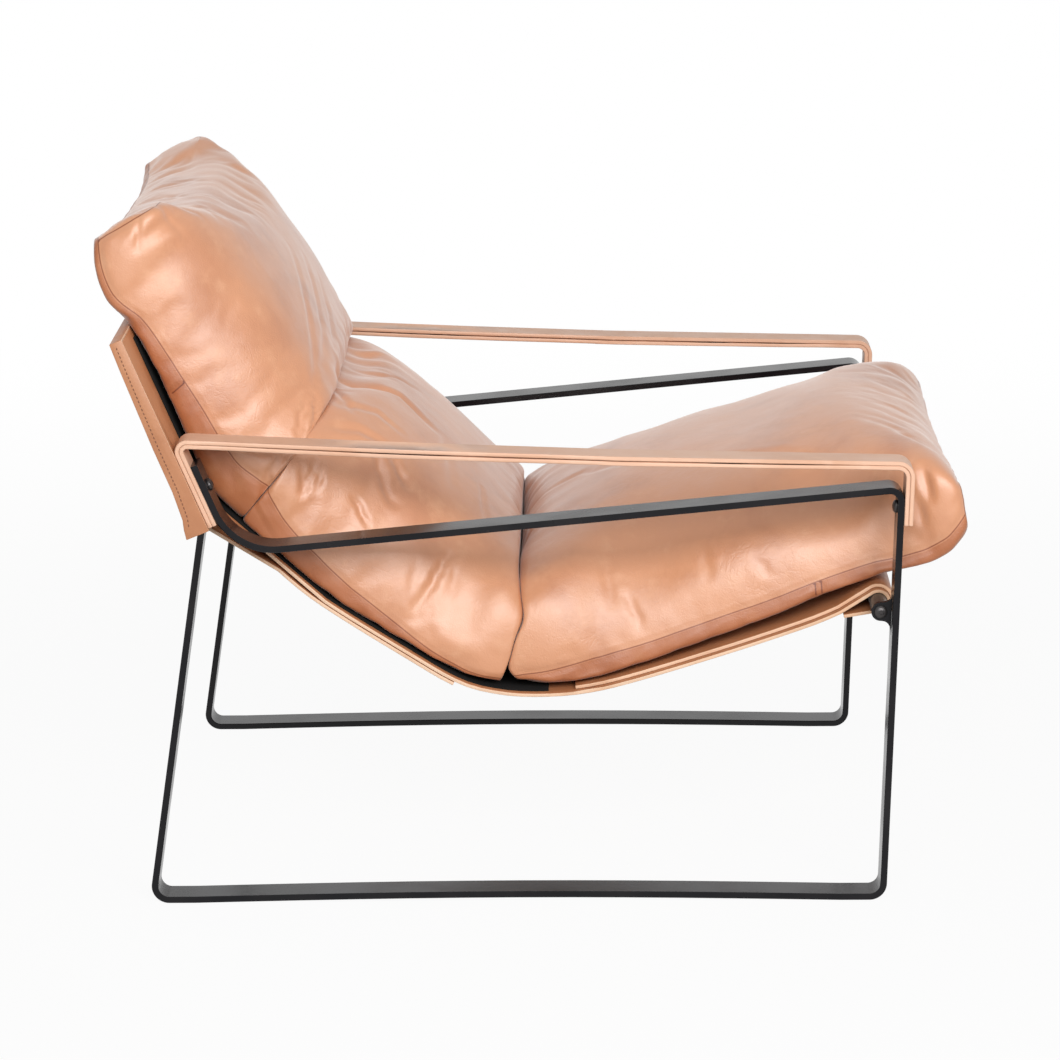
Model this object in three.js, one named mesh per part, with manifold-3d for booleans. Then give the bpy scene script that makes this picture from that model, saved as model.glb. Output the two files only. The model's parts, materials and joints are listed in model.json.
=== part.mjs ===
// Leather sling lounge chair, in millimetres.
// X points to the front of the chair, Y to the sitter's left and Z up; the chair stands on Z = 0.
// Two bent flat-bar side frames carry two cross rods, a leather back sleeve, a hanging leather sling,
// doubled leather arm straps and three soft cushions.
import * as THREE from 'three';
import { mergeVertices } from 'three/addons/utils/BufferGeometryUtils.js';
import Module from 'manifold-3d';

const wasm = await Module();
wasm.setup();

const degree = Math.PI / 180;

// Side frames, bent from one flat bar each
const frameWidth = 700;
const barWidth = 38;
const barThickness = 7;
const baseLength = 785;
const rearLegLean = 8.77 * degree;
const frontLegLean = 1.95 * degree;
const backLean = 22.78 * degree;
const armRise = 5.29 * degree;
const kneeHeight = 411.5;
const armFrontAboveKnee = 36;
const uprightLength = 212;
const armEndLength = 102;
const footCornerRadius = 15;
const armCornerRadius = 12;
const kneeRadius = 24;
const armSweepRadius = 66;
const footFlat = 45;
const railArch = 4.5;
const barEdgeChamfer = 0.6;

// Cross rods and their fastening
const rodRadius = 9.5;
const rodBelowKnee = 99;
const rodStandOff = 11.6;
const tabThickness = 5;
const tabRadius = 10;
const tabRootBelow = 26;
const tabRootAbove = 18;
const screwRadius = 4;
const screwHeadRadius = 7;
const screwHeadHeight = 4.4;
const screwHeadRim = 0.9;
const screwPointTaper = 0.5;
const screwPointLength = 1;
const socketRadius = 2.9;
const socketDepth = 2.4;
const rodScrewReach = 17;
const nutRadius = 7.5;
const nutHeight = 4.6;
const strapNutFlangeRadius = 9;
const strapNutFlange = 1.4;
const strapNutBarrelRadius = 5.6;
const frontScrewDrop = 22;
const rearBoltFromEnd = 27;

// Leather
const strapLayer = 4.4;
const strapRearTail = 96;
const strapFrontTail = 64;
const strapRise = 28;
const strapAboveArm = 29;
const strapSag = 4;
const strapRearRadius = 8;
const strapFrontRadius = 13;
const strapEdge = 0.7;
const sleeveLeather = 2;
const sleeveFlare = 14;
const sleeveFlareHeight = 24;
const sleeveDepthGain = 6.4;
const sleeveBelowKnee = 6;
const slingSideGap = 20;
const slingLayer = 3.8;
const slingSag = 151;
const linerSetBack = 9;
const linerThickness = 1.5;
const linerBendRadius = 100;
const linerTopGap = 9.5;
const slingReturnWrap = -115 * degree;
const facingWrap = -35 * degree;
const returnEndShare = 0.373;
const facingStartShare = 0.531;

// Cushions
const seatThickness = 164;
const lumbarThickness = 184;
const headThickness = 166;
const headAboveSleeve = 100;
const seatOverhang = 103;
const seatNoseRise = 68;
const cushionDrawIn = 9;
const headHeading = 36 * degree;
const channelHeading = 51 * degree;
const creaseHeading = 79 * degree;
const noseHeading = 104 * degree;
const backFoldShare = 0.51;
const creaseShare = 0.445;
const seatStartShare = 0.457;
const seatLiftShare = 0.85;
const crownPower = 2 / 3.4;
const basePower = 2 / 6;
const seamShare = 0.16;

// Fits
const clearance = 0.3;
const overrun = 2;
const arcStep = 5 * degree;
const railSteps = 12;
const hangSteps = 44;
const domeSteps = 4;
const rodSides = 32;
const roundSides = 20;
const hexSides = 6;
const ringPoints = 28;
const ringCount = 17;

const armFrontHeight = kneeHeight + armFrontAboveKnee;
const rodHeight = kneeHeight - rodBelowKnee;
const halfBar = barThickness / 2;
const frameOuterY = frameWidth / 2;
const frameInnerY = frameOuterY - barWidth;
const barMiddleY = frameOuterY - barWidth / 2;
const slingEdgeY = frameInnerY - slingSideGap;
const linerEdgeY = slingEdgeY - linerSetBack;
const strapThickness = 2 * strapLayer + clearance;
const clampStack = strapThickness + sleeveLeather + 3 * clearance;

const steel = { color: 0x1d1b1b, roughness: 0.42, metalness: 0.85 };
const darkSteel = { color: 0x141313, roughness: 0.38, metalness: 0.9 };
const leather = { color: 0xc98a63, roughness: 0.5, metalness: 0 };
const strapLeather = { color: 0xdca483, roughness: 0.55, metalness: 0 };
const canvas = { color: 0x0d0d0d, roughness: 0.95, metalness: 0 };

// Vectors in the side plane: x is world X, y is world Z
const at = (x, z) => new THREE.Vector2(x, z);
const along = (point, direction, distance) => point.clone().addScaledVector(direction, distance);
const leftOf = (direction) => at(-direction.y, direction.x);
const fromAngle = (angle) => at(Math.cos(angle), Math.sin(angle));

function crossing(pointA, directionA, pointB, directionB) {
  const across = leftOf(directionB);
  const reach = across.dot(pointB.clone().sub(pointA)) / across.dot(directionA);
  return along(pointA, directionA, reach);
}

function arcPoints(centre, radius, startAngle, endAngle) {
  const steps = Math.max(2, Math.ceil(Math.abs(endAngle - startAngle) / arcStep));
  const points = [];
  for (let i = 0; i <= steps; i += 1) {
    points.push(along(centre, fromAngle(startAngle + (endAngle - startAngle) * i / steps), radius));
  }
  return points;
}

// A path through corners, each rounded to its own radius
function roundedPath(corners) {
  const points = [];
  corners.forEach((corner, i) => {
    if (!corner.radius) {
      points.push(corner.point);
      return;
    }
    const incoming = corner.point.clone().sub(corners[i - 1].point).normalize();
    const outgoing = corners[i + 1].point.clone().sub(corner.point).normalize();
    const turn = Math.atan2(incoming.cross(outgoing), incoming.dot(outgoing));
    const side = Math.sign(turn);
    const start = along(corner.point, incoming, -corner.radius * Math.tan(Math.abs(turn) / 2));
    const centre = along(start, leftOf(incoming), side * corner.radius);
    const spoke = start.clone().sub(centre);
    const startAngle = Math.atan2(spoke.y, spoke.x);
    points.push(...arcPoints(centre, corner.radius, startAngle, startAngle + turn));
  });
  return points;
}

// The path moved sideways, to its left when the distance is positive
function offsetPath(path, distance) {
  return path.map((point, i) => {
    const before = path[Math.max(i - 1, 0)];
    const after = path[Math.min(i + 1, path.length - 1)];
    const incoming = (i > 0 ? point.clone().sub(before) : after.clone().sub(point)).normalize();
    const outgoing = (i < path.length - 1 ? after.clone().sub(point) : incoming.clone()).normalize();
    const middle = incoming.clone().add(outgoing).normalize();
    return along(point, leftOf(middle), distance / middle.dot(incoming));
  });
}

// A strip of bar or leather seen from its edge, between two offsets of one path
function bandShape(path, lower, upper) {
  const near = offsetPath(path, lower);
  const far = offsetPath(path, upper).reverse();
  return new THREE.Shape([...near, ...far]);
}

// A side-plane shape carried across the chair from one Y to another
function acrossChair(shape, fromY, toY, edge = 0) {
  const geometry = new THREE.ExtrudeGeometry(shape, {
    depth: toY - fromY - 2 * edge,
    bevelEnabled: edge > 0,
    bevelThickness: edge,
    bevelSize: edge,
    bevelOffset: -edge,
    bevelSegments: 1,
    curveSegments: 10,
  });
  geometry.rotateX(Math.PI / 2);
  geometry.translate(0, toY - edge, 0);
  return geometry;
}

// A shape drawn across the chair, x as Y and y as Z, thickened along X
function acrossDepth(shape, fromX, toX) {
  const geometry = new THREE.ExtrudeGeometry(shape, { depth: toX - fromX, bevelEnabled: false });
  const axes = new THREE.Matrix4().makeBasis(
    new THREE.Vector3(0, 1, 0), new THREE.Vector3(0, 0, 1), new THREE.Vector3(1, 0, 0));
  geometry.applyMatrix4(axes);
  geometry.translate(fromX, 0, 0);
  return geometry;
}

function solidOf(geometry) {
  const bare = new THREE.BufferGeometry();
  bare.setAttribute('position', geometry.getAttribute('position').clone());
  if (geometry.index) bare.setIndex(geometry.index.clone());
  const merged = mergeVertices(bare);
  const corners = merged.index.array;
  const triangles = [];
  for (let i = 0; i < corners.length; i += 3) {
    const [a, b, c] = [corners[i], corners[i + 1], corners[i + 2]];
    if (a !== b && b !== c && c !== a) triangles.push(a, b, c);
  }
  return new wasm.Manifold(new wasm.Mesh({
    numProp: 3,
    vertProperties: new Float32Array(merged.getAttribute('position').array),
    triVerts: new Uint32Array(triangles),
  }));
}

function geometryOf(solid) {
  const mesh = solid.getMesh();
  const geometry = new THREE.BufferGeometry();
  geometry.setAttribute('position', new THREE.BufferAttribute(new Float32Array(mesh.vertProperties), 3));
  geometry.setIndex(new THREE.BufferAttribute(new Uint32Array(mesh.triVerts), 1));
  geometry.computeVertexNormals();
  return geometry;
}

function cut(geometry, ...tools) {
  let solid = solidOf(geometry);
  for (const tool of tools) solid = solid.subtract(solidOf(tool));
  return geometryOf(solid);
}

// The turn that lays a piece's own Y axis along a side-plane direction and its X axis across the chair
function turnAlong(direction) {
  const axis = new THREE.Vector3(direction.x, 0, direction.y);
  const across = new THREE.Vector3(0, 1, 0);
  const basis = new THREE.Matrix4().makeBasis(across, axis, across.clone().cross(axis));
  return new THREE.Quaternion().setFromRotationMatrix(basis);
}

// A round tool along a side-plane direction, at one Y
function drillAlong(point, direction, y, radius, reach) {
  const tool = new THREE.CylinderGeometry(radius, radius, 2 * reach, roundSides);
  tool.applyQuaternion(turnAlong(direction));
  tool.translate(point.x, y, point.y);
  return tool;
}

const chair = new THREE.Group();

function addPiece(name, geometry, finish, parent = chair) {
  const mesh = new THREE.Mesh(geometry, new THREE.MeshStandardMaterial(finish));
  mesh.name = name;
  parent.add(mesh);
  return mesh;
}

const sides = [{ label: 'right', sign: -1 }, { label: 'left', sign: 1 }];

// Y range of a strip as wide as the bar, on one side of the chair
function barRange(sign) {
  return sign < 0 ? [-frameOuterY, -frameInnerY] : [frameInnerY, frameOuterY];
}

// Centre lines of the side frame
const rearLegUp = fromAngle(Math.PI / 2 - rearLegLean);
const frontLegUp = fromAngle(Math.PI / 2 - frontLegLean);
const backUp = fromAngle(Math.PI / 2 + backLean);
const backOut = fromAngle(backLean);
const armForward = fromAngle(armRise);

const rearFootFace = at(-baseLength / 2, 0);
const frontFootFace = at(baseLength / 2, 0);
const rearLegPoint = along(rearFootFace, leftOf(rearLegUp), -halfBar);
const frontLegPoint = along(frontFootFace, leftOf(frontLegUp), halfBar);
const level = at(1, 0);
const rearFoot = crossing(rearLegPoint, rearLegUp, at(0, halfBar), level);
const frontFoot = crossing(frontLegPoint, frontLegUp, at(0, halfBar), level);
const knee = crossing(rearLegPoint, rearLegUp, at(0, kneeHeight), level);
const armFront = crossing(frontLegPoint, frontLegUp, at(0, armFrontHeight), level);
const uprightTop = along(knee, backUp, uprightLength);
const armEndPoint = along(knee, backOut, barThickness + clampStack);
const armRear = crossing(armFront, armForward, armEndPoint, backUp);
const armEnd = along(armRear, backUp, armEndLength);

function archedRail() {
  const start = rearFoot.x + footFlat;
  const end = frontFoot.x - footFlat;
  const points = [];
  for (let i = 0; i <= railSteps; i += 1) {
    const share = i / railSteps;
    points.push(at(start + (end - start) * share, halfBar + railArch * Math.sin(Math.PI * share)));
  }
  return points;
}

const sideFramePath = roundedPath([
  { point: uprightTop },
  { point: knee, radius: kneeRadius },
  { point: rearFoot, radius: footCornerRadius },
  ...archedRail().map((point) => ({ point })),
  { point: frontFoot, radius: footCornerRadius },
  { point: armFront, radius: armCornerRadius },
  { point: armRear, radius: armSweepRadius },
  { point: armEnd },
]);

// Where the arm straps are bolted on
const frontScrewPoint = along(armFront, frontLegUp, -frontScrewDrop);
const frontScrewAxis = leftOf(frontLegUp).negate();
const rearBoltPoint = along(armEnd, backUp, -rearBoltFromEnd);
const screwHole = screwRadius + clearance;

function addSideFrames() {
  for (const { label, sign } of sides) {
    const [fromY, toY] = barRange(sign);
    const bar = acrossChair(bandShape(sideFramePath, -halfBar, halfBar), fromY, toY, barEdgeChamfer);
    const y = sign * barMiddleY;
    const reach = halfBar + overrun;
    const upright = along(rearBoltPoint, backOut, -(barThickness + clampStack));
    addPiece(`side_frame_${label}`, cut(
      bar,
      drillAlong(frontScrewPoint, frontScrewAxis, y, screwHole, reach),
      drillAlong(rearBoltPoint, backOut, y, screwHole, reach),
      drillAlong(upright, backOut, y, screwHole, reach),
    ), steel);
  }
}

// Round cross rods: the front one is screwed between two welded tabs
const legRearFace = along(frontLegPoint, leftOf(frontLegUp), halfBar);
const rodLegPoint = crossing(legRearFace, frontLegUp, at(0, rodHeight), level);
const frontRod = at(rodLegPoint.x - rodStandOff, rodHeight);
const tabInnerY = barMiddleY - tabThickness / 2;
const tabOuterY = barMiddleY + tabThickness / 2;

function rodGeometry(halfLength, holeReach) {
  const profile = [
    at(0, -halfLength + holeReach),
    at(screwHole, -halfLength + holeReach),
    at(screwHole, -halfLength),
    at(rodRadius, -halfLength),
    at(rodRadius, halfLength),
    at(screwHole, halfLength),
    at(screwHole, halfLength - holeReach),
    at(0, halfLength - holeReach),
  ];
  return new THREE.LatheGeometry(profile, rodSides);
}

function plainRodGeometry(halfLength) {
  const profile = [
    at(0, -halfLength),
    at(rodRadius, -halfLength),
    at(rodRadius, halfLength),
    at(0, halfLength),
  ];
  return new THREE.LatheGeometry(profile, rodSides);
}

function tabShape() {
  const root = rodStandOff - clearance;
  const shape = new THREE.Shape();
  const rootBelow = root - tabRootBelow * Math.tan(frontLegLean);
  const rootAbove = root + tabRootAbove * Math.tan(frontLegLean);
  shape.moveTo(rootBelow, -tabRootBelow);
  shape.lineTo(rootAbove, tabRootAbove);
  shape.quadraticCurveTo(root, tabRadius, 0, tabRadius);
  shape.absarc(0, 0, tabRadius, Math.PI / 2, 3 * Math.PI / 2, false);
  shape.quadraticCurveTo(root, -tabRadius, rootBelow, -tabRootBelow);
  return shape;
}

function addFrontRod() {
  const rod = addPiece('front_rod', rodGeometry(tabInnerY, rodScrewReach + overrun), darkSteel);
  rod.position.set(frontRod.x, 0, frontRod.y);
  for (const { label, sign } of sides) {
    const [fromY, toY] = sign < 0 ? [-tabOuterY, -tabInnerY] : [tabInnerY, tabOuterY];
    const plate = acrossChair(tabShape(), fromY, toY);
    const hole = new THREE.CylinderGeometry(screwHole, screwHole, tabThickness + 2 * overrun, roundSides);
    hole.translate(0, sign * barMiddleY, 0);
    const tab = addPiece(`rod_tab_${label}`, cut(plate, hole), steel);
    tab.position.set(frontRod.x, 0, frontRod.y);
    const screw = addPiece(`rod_screw_${label}`, screwGeometry(tabThickness + rodScrewReach), darkSteel);
    screw.position.set(frontRod.x, sign * (tabOuterY + clearance), frontRod.y);
    if (sign < 0) screw.rotation.x = Math.PI;
  }
}

function addKneeRod() {
  const rod = addPiece('knee_rod', plainRodGeometry(frameInnerY), darkSteel);
  rod.position.set(knee.x, 0, knee.y);
}

// A button-head screw: the head stands on the origin and the shank goes down its own Y axis
function screwGeometry(reach) {
  const profile = [
    at(0, -reach),
    at(screwRadius - screwPointTaper, -reach),
    at(screwRadius, -reach + screwPointLength),
    at(screwRadius, 0),
    at(screwHeadRadius, 0),
    at(screwHeadRadius, screwHeadRim),
  ];
  for (let i = 1; i <= domeSteps; i += 1) {
    const angle = Math.PI / 2 * i / domeSteps;
    const height = screwHeadRim + (screwHeadHeight - screwHeadRim) * Math.sin(angle);
    profile.push(at(i === domeSteps ? 0 : screwHeadRadius * Math.cos(angle), height));
  }
  const socket = new THREE.CylinderGeometry(socketRadius, socketRadius, 2 * socketDepth, hexSides);
  socket.translate(0, screwHeadHeight, 0);
  return cut(new THREE.LatheGeometry(profile, roundSides), socket);
}

function aim(mesh, point, direction, y) {
  mesh.quaternion.copy(turnAlong(direction));
  mesh.position.set(point.x, y, point.y);
}

function nutGeometry() {
  const nut = new THREE.CylinderGeometry(nutRadius, nutRadius, nutHeight, hexSides);
  const bore = new THREE.CylinderGeometry(screwHole, screwHole, nutHeight + 2 * overrun, roundSides);
  return cut(nut, bore);
}

// A flanged nut whose flange lies between the strap's two layers
function strapNutGeometry() {
  const barrelReach = strapLayer;
  const profile = [
    at(screwHole, -barrelReach),
    at(strapNutBarrelRadius, -barrelReach),
    at(strapNutBarrelRadius, 0),
    at(strapNutFlangeRadius, 0),
    at(strapNutFlangeRadius, strapNutFlange),
    at(screwHole, strapNutFlange),
    at(screwHole, -barrelReach),
  ];
  return new THREE.LatheGeometry(profile, roundSides);
}

function addStrapFasteners() {
  const legFront = along(frontScrewPoint, frontScrewAxis, halfBar);
  const legRear = along(frontScrewPoint, frontScrewAxis, -halfBar - clearance);
  const shankReach = barThickness + strapLayer + 2 * clearance;
  const flangeSeat = along(legFront, frontScrewAxis, strapLayer + 2 * clearance);
  const endFace = along(rearBoltPoint, backOut, halfBar + clearance);
  const boltReach = 2 * barThickness + clampStack + nutHeight + 2 * clearance;
  const nutReach = halfBar + clampStack + barThickness + clearance + nutHeight / 2;
  const nutSeat = along(rearBoltPoint, backOut, -nutReach);
  for (const { label, sign } of sides) {
    const y = sign * barMiddleY;
    aim(addPiece(`strap_screw_front_${label}`, screwGeometry(shankReach), darkSteel),
      legRear, frontScrewAxis.clone().negate(), y);
    aim(addPiece(`strap_nut_front_${label}`, strapNutGeometry(), darkSteel), flangeSeat, frontScrewAxis, y);
    aim(addPiece(`strap_bolt_rear_${label}`, screwGeometry(boltReach), darkSteel), endFace, backOut, y);
    aim(addPiece(`strap_nut_rear_${label}`, nutGeometry(), darkSteel), nutSeat, backOut, y);
  }
}

// The line between the two layers of an arm strap, from its rear tail over the arm to its front tail
function strapPath() {
  const rearFace = along(armEnd, backOut, -(halfBar + clearance + strapLayer + clearance / 2));
  const frontFace = along(armFront, frontScrewAxis, halfBar + clearance + strapLayer + clearance / 2);
  const rearTail = along(along(rearFace, backUp, strapAboveArm), backUp, -strapRearTail);
  const rearCorner = along(rearFace, backUp, strapAboveArm);
  const frontHeight = rearCorner.y - strapRise;
  const frontCorner = crossing(frontFace, frontLegUp, at(0, frontHeight), level);
  const frontTail = along(frontCorner, frontLegUp, -strapFrontTail);
  const sagShares = [0.15, 0.3, 0.45, 0.6, 0.75, 0.88];
  const topLine = sagShares.map((share) => {
    const point = rearCorner.clone().lerp(frontCorner, share);
    point.y -= strapSag * Math.sin(Math.PI * share);
    return { point };
  });
  return roundedPath([
    { point: rearTail },
    { point: rearCorner, radius: strapRearRadius },
    ...topLine,
    { point: frontCorner, radius: strapFrontRadius },
    { point: frontTail },
  ]);
}

function addArmStraps() {
  const path = strapPath();
  const inner = clearance / 2;
  const outer = inner + strapLayer;
  const nutPocket = strapNutFlangeRadius + clearance;
  for (const { label, sign } of sides) {
    const [fromY, toY] = barRange(sign);
    const y = sign * barMiddleY;
    const rearHole = drillAlong(rearBoltPoint, backOut, y, screwHole, clampStack + barThickness);
    const barrelHole = drillAlong(frontScrewPoint, frontScrewAxis, y,
      strapNutBarrelRadius + clearance, barThickness + strapLayer);
    const flangeReach = halfBar + strapLayer + strapNutFlange + 3 * clearance;
    const pocket = drillAlong(frontScrewPoint, frontScrewAxis, y, nutPocket, flangeReach);
    const topLayer = acrossChair(bandShape(path, inner, outer), fromY, toY, strapEdge);
    const lining = acrossChair(bandShape(path, -outer, -inner), fromY, toY, strapEdge);
    addPiece(`arm_strap_top_${label}`, cut(topLayer, rearHole, pocket), strapLeather);
    addPiece(`arm_strap_lining_${label}`, cut(lining, rearHole, barrelHole), strapLeather);
  }
}

// The back sleeve is drawn upright in its own group, which leans with the uprights:
// x = 0 is the middle of the bar and z = 0 is the knee.
const back = new THREE.Group();
back.position.set(knee.x, 0, knee.y);
back.rotation.y = -backLean;
chair.add(back);

const sleeveFrontInner = halfBar + clearance;
const sleeveFrontOuter = sleeveFrontInner + sleeveLeather;
const sleeveRearInner = -halfBar - clearance;
const sleeveTop = uprightLength + clearance;
const stripSeat = sleeveTop + clearance;
const panelHalfY = frameOuterY + clearance;
const gussetInnerY = panelHalfY + clearance;
const gussetOuterY = gussetInnerY + sleeveLeather;

// Inner face of the sleeve's back, from the top down: it stands off further below and flares at the hem
function sleeveRearPath() {
  const gainShares = [[1, 0.3], [0.88, 0.5], [0.45, 0.95], [0.22, 1]];
  const points = gainShares.map(([height, gain]) => at(
    sleeveRearInner - sleeveDepthGain * gain, sleeveTop * height));
  const lowX = points[points.length - 1].x;
  const flareShares = [[0.35, 0.62], [0.75, 0.2]];
  const flareDepth = sleeveFlare - sleeveDepthGain;
  for (const [gain, height] of flareShares) {
    points.push(at(lowX - flareDepth * gain, sleeveFlareHeight * height));
  }
  points.push(at(lowX - flareDepth, -sleeveBelowKnee));
  return points;
}

function addSleeve() {
  const rearPath = sleeveRearPath();
  addPiece('sleeve_back_panel',
    acrossChair(bandShape(rearPath, -sleeveLeather, 0), -panelHalfY, panelHalfY), leather, back);

  const rodClear = rodRadius + 2 * slingLayer + 2 * overrun;
  const front = new THREE.Shape();
  front.moveTo(-panelHalfY, sleeveTop);
  front.lineTo(-panelHalfY, -sleeveBelowKnee);
  front.lineTo(-frameInnerY, -sleeveBelowKnee);
  front.lineTo(-frameInnerY, rodClear);
  front.lineTo(frameInnerY, rodClear);
  front.lineTo(frameInnerY, -sleeveBelowKnee);
  front.lineTo(panelHalfY, -sleeveBelowKnee);
  front.lineTo(panelHalfY, sleeveTop);
  const frontPanel = acrossDepth(front, sleeveFrontInner, sleeveFrontOuter);
  const boltUp = uprightBoltHeight();
  const holes = sides.map(({ sign }) => {
    const hole = new THREE.CylinderGeometry(screwHole, screwHole, 2 * sleeveFrontOuter, roundSides);
    hole.rotateZ(Math.PI / 2);
    hole.translate(sleeveFrontOuter, sign * barMiddleY, boltUp);
    return hole;
  });
  addPiece('sleeve_front_panel', cut(frontPanel, ...holes), leather, back);

  const outerRear = offsetPath(rearPath, -sleeveLeather);
  const rearTopX = outerRear[0].x;
  const sideOutline = new THREE.Shape([
    at(sleeveFrontOuter, stripSeat),
    at(rearTopX, stripSeat),
    ...outerRear.slice(1),
    at(sleeveFrontOuter, -sleeveBelowKnee),
  ]);
  const topStrip = new THREE.Shape([
    at(sleeveFrontOuter, stripSeat),
    at(rearTopX, stripSeat),
    at(rearTopX, stripSeat + sleeveLeather),
    at(sleeveFrontOuter, stripSeat + sleeveLeather),
  ]);
  let gusset = solidOf(acrossChair(topStrip, -gussetOuterY, gussetOuterY));
  for (const { sign } of sides) {
    const [fromY, toY] = sign < 0 ? [-gussetOuterY, -gussetInnerY] : [gussetInnerY, gussetOuterY];
    gusset = gusset.add(solidOf(acrossChair(sideOutline, fromY, toY)));
  }
  addPiece('sleeve_gusset', geometryOf(gusset), leather, back);
}

function uprightBoltHeight() {
  return rearBoltPoint.clone().sub(knee).dot(backUp);
}

function addTopBar() {
  const outline = new THREE.Shape([
    at(-halfBar, uprightLength - barWidth),
    at(halfBar, uprightLength - barWidth),
    at(halfBar, uprightLength),
    at(-halfBar, uprightLength),
  ]);
  addPiece('back_top_bar', acrossChair(outline, -frameInnerY, frameInnerY, barEdgeChamfer), steel, back);
}

// The sling hangs between the two rods. Each pair is a share of the way from the knee rod to the front
// rod and a share of the sag below the straight line between them.
const slingShares = [
  [0.108, 0.324], [0.165, 0.508], [0.286, 0.79], [0.369, 0.974], [0.427, 1.019], [0.489, 0.999],
  [0.561, 0.925], [0.642, 0.784], [0.793, 0.475], [0.899, 0.239], [0.945, 0.121],
];
const rodSpan = frontRod.x - knee.x;
const hangPoint = ([reach, sag]) => at(
  knee.x + rodSpan * reach, knee.y - rodBelowKnee * reach - slingSag * sag);
const hangCurve = new THREE.SplineCurve(slingShares.map(hangPoint));
const hangLine = hangCurve.getSpacedPoints(hangSteps);
const foldOverRadius = rodRadius + clearance + slingLayer / 2;
const facingFoldRadius = foldOverRadius + slingLayer + clearance;

// Heights above the middle of the doubled sling
const mainOffset = slingLayer / 2 + clearance;
const facingOffset = mainOffset + slingLayer + clearance;
const linerOffset = mainOffset + slingLayer / 2 + clearance + linerThickness / 2;
const seatOffset = facingOffset + slingLayer / 2 + clearance;

const pointsBefore = (path, share) => path.filter((point) => point.x < knee.x + rodSpan * share);
const pointsAfter = (path, share) => path.filter((point) => point.x > knee.x + rodSpan * share);

// Heading of a straight run from a point that just touches a circle, which lies on its right for side 1
function tangentHeading(point, centre, radius, side) {
  const reach = centre.clone().sub(point);
  return Math.atan2(reach.y, reach.x) + side * Math.asin(radius / reach.length());
}

const tangentAngle = (point, centre, radius, side) => (
  tangentHeading(point, centre, radius, side) + side * Math.PI / 2);

function slingMainPath() {
  const returnLayer = pointsBefore(offsetPath(hangLine, -mainOffset), returnEndShare).reverse();
  const mainLayer = offsetPath(hangLine, mainOffset);
  const lowStart = returnLayer[returnLayer.length - 1];
  const rearIn = tangentAngle(lowStart, knee, foldOverRadius, 1);
  const mainRest = pointsAfter(mainLayer, slingShares[1][0]);
  const rearOut = tangentAngle(mainRest[0], knee, foldOverRadius, -1);
  const last = mainRest[mainRest.length - 1];
  const frontIn = tangentAngle(last, frontRod, foldOverRadius, 1);
  const frontReturn = at(last.x + slingLayer, last.y - slingLayer - 2 * clearance);
  return [
    ...returnLayer,
    ...arcPoints(knee, foldOverRadius, rearIn, rearOut),
    ...mainRest,
    ...arcPoints(frontRod, foldOverRadius, frontIn, slingReturnWrap),
    frontReturn,
  ];
}

function slingFacingPath() {
  const run = pointsAfter(offsetPath(hangLine, facingOffset), facingStartShare);
  const frontIn = tangentAngle(run[run.length - 1], frontRod, facingFoldRadius, 1);
  return [...run, ...arcPoints(frontRod, facingFoldRadius, frontIn, facingWrap)];
}

// Middle line of the black lining: down the front of the sleeve, round the knee rod and along the sling.
// The same line, carried on above the sleeve, is what the back cushions lean on.
function supportPath(topHeight) {
  const backX = sleeveFrontOuter + clearance + linerThickness / 2;
  const backFoot = along(knee, backOut, backX);
  const run = offsetPath(hangLine, linerOffset);
  const lying = run.filter((point) => point.x > knee.x + rodSpan * slingShares[1][0]
    && point.x < knee.x + rodSpan * facingStartShare - slingLayer);
  const overFold = foldOverRadius + slingLayer / 2 + clearance + linerThickness / 2;
  const heading = fromAngle(tangentHeading(lying[0], knee, overFold, -1));
  const corner = crossing(backFoot, backUp, lying[0], heading);
  return roundedPath([
    { point: along(backFoot, backUp, topHeight) },
    { point: corner, radius: linerBendRadius },
    ...lying.map((point) => ({ point })),
  ]);
}

function addSling() {
  const half = slingLayer / 2;
  const main = bandShape(slingMainPath(), -half, half);
  const facing = bandShape(slingFacingPath(), -half, half);
  addPiece('sling', acrossChair(main, -slingEdgeY, slingEdgeY), leather);
  addPiece('sling_seat_facing', acrossChair(facing, -linerEdgeY, linerEdgeY), leather);
  addPiece('support_lining', acrossChair(
    bandShape(supportPath(uprightLength - linerTopGap), -linerThickness / 2, linerThickness / 2),
    -linerEdgeY, linerEdgeY), canvas);
}

// Cushions: each is a row of rings from its first end to its last, standing on the line it rests on
function ringAt(foot, lift, halfWidth) {
  const ring = [];
  for (let j = 0; j < ringPoints; j += 1) {
    const angle = 2 * Math.PI * j / ringPoints;
    const [across, up] = [Math.cos(angle), Math.sin(angle)];
    const power = up >= 0 ? crownPower : basePower;
    const y = halfWidth * Math.sign(across) * Math.abs(across) ** power;
    const rise = up >= 0
      ? seamShare + (1 - seamShare) * up ** power
      : seamShare - seamShare * Math.abs(up) ** power;
    const point = foot.clone().addScaledVector(lift, rise);
    ring.push(new THREE.Vector3(point.x, y, point.y));
  }
  return ring;
}

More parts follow.
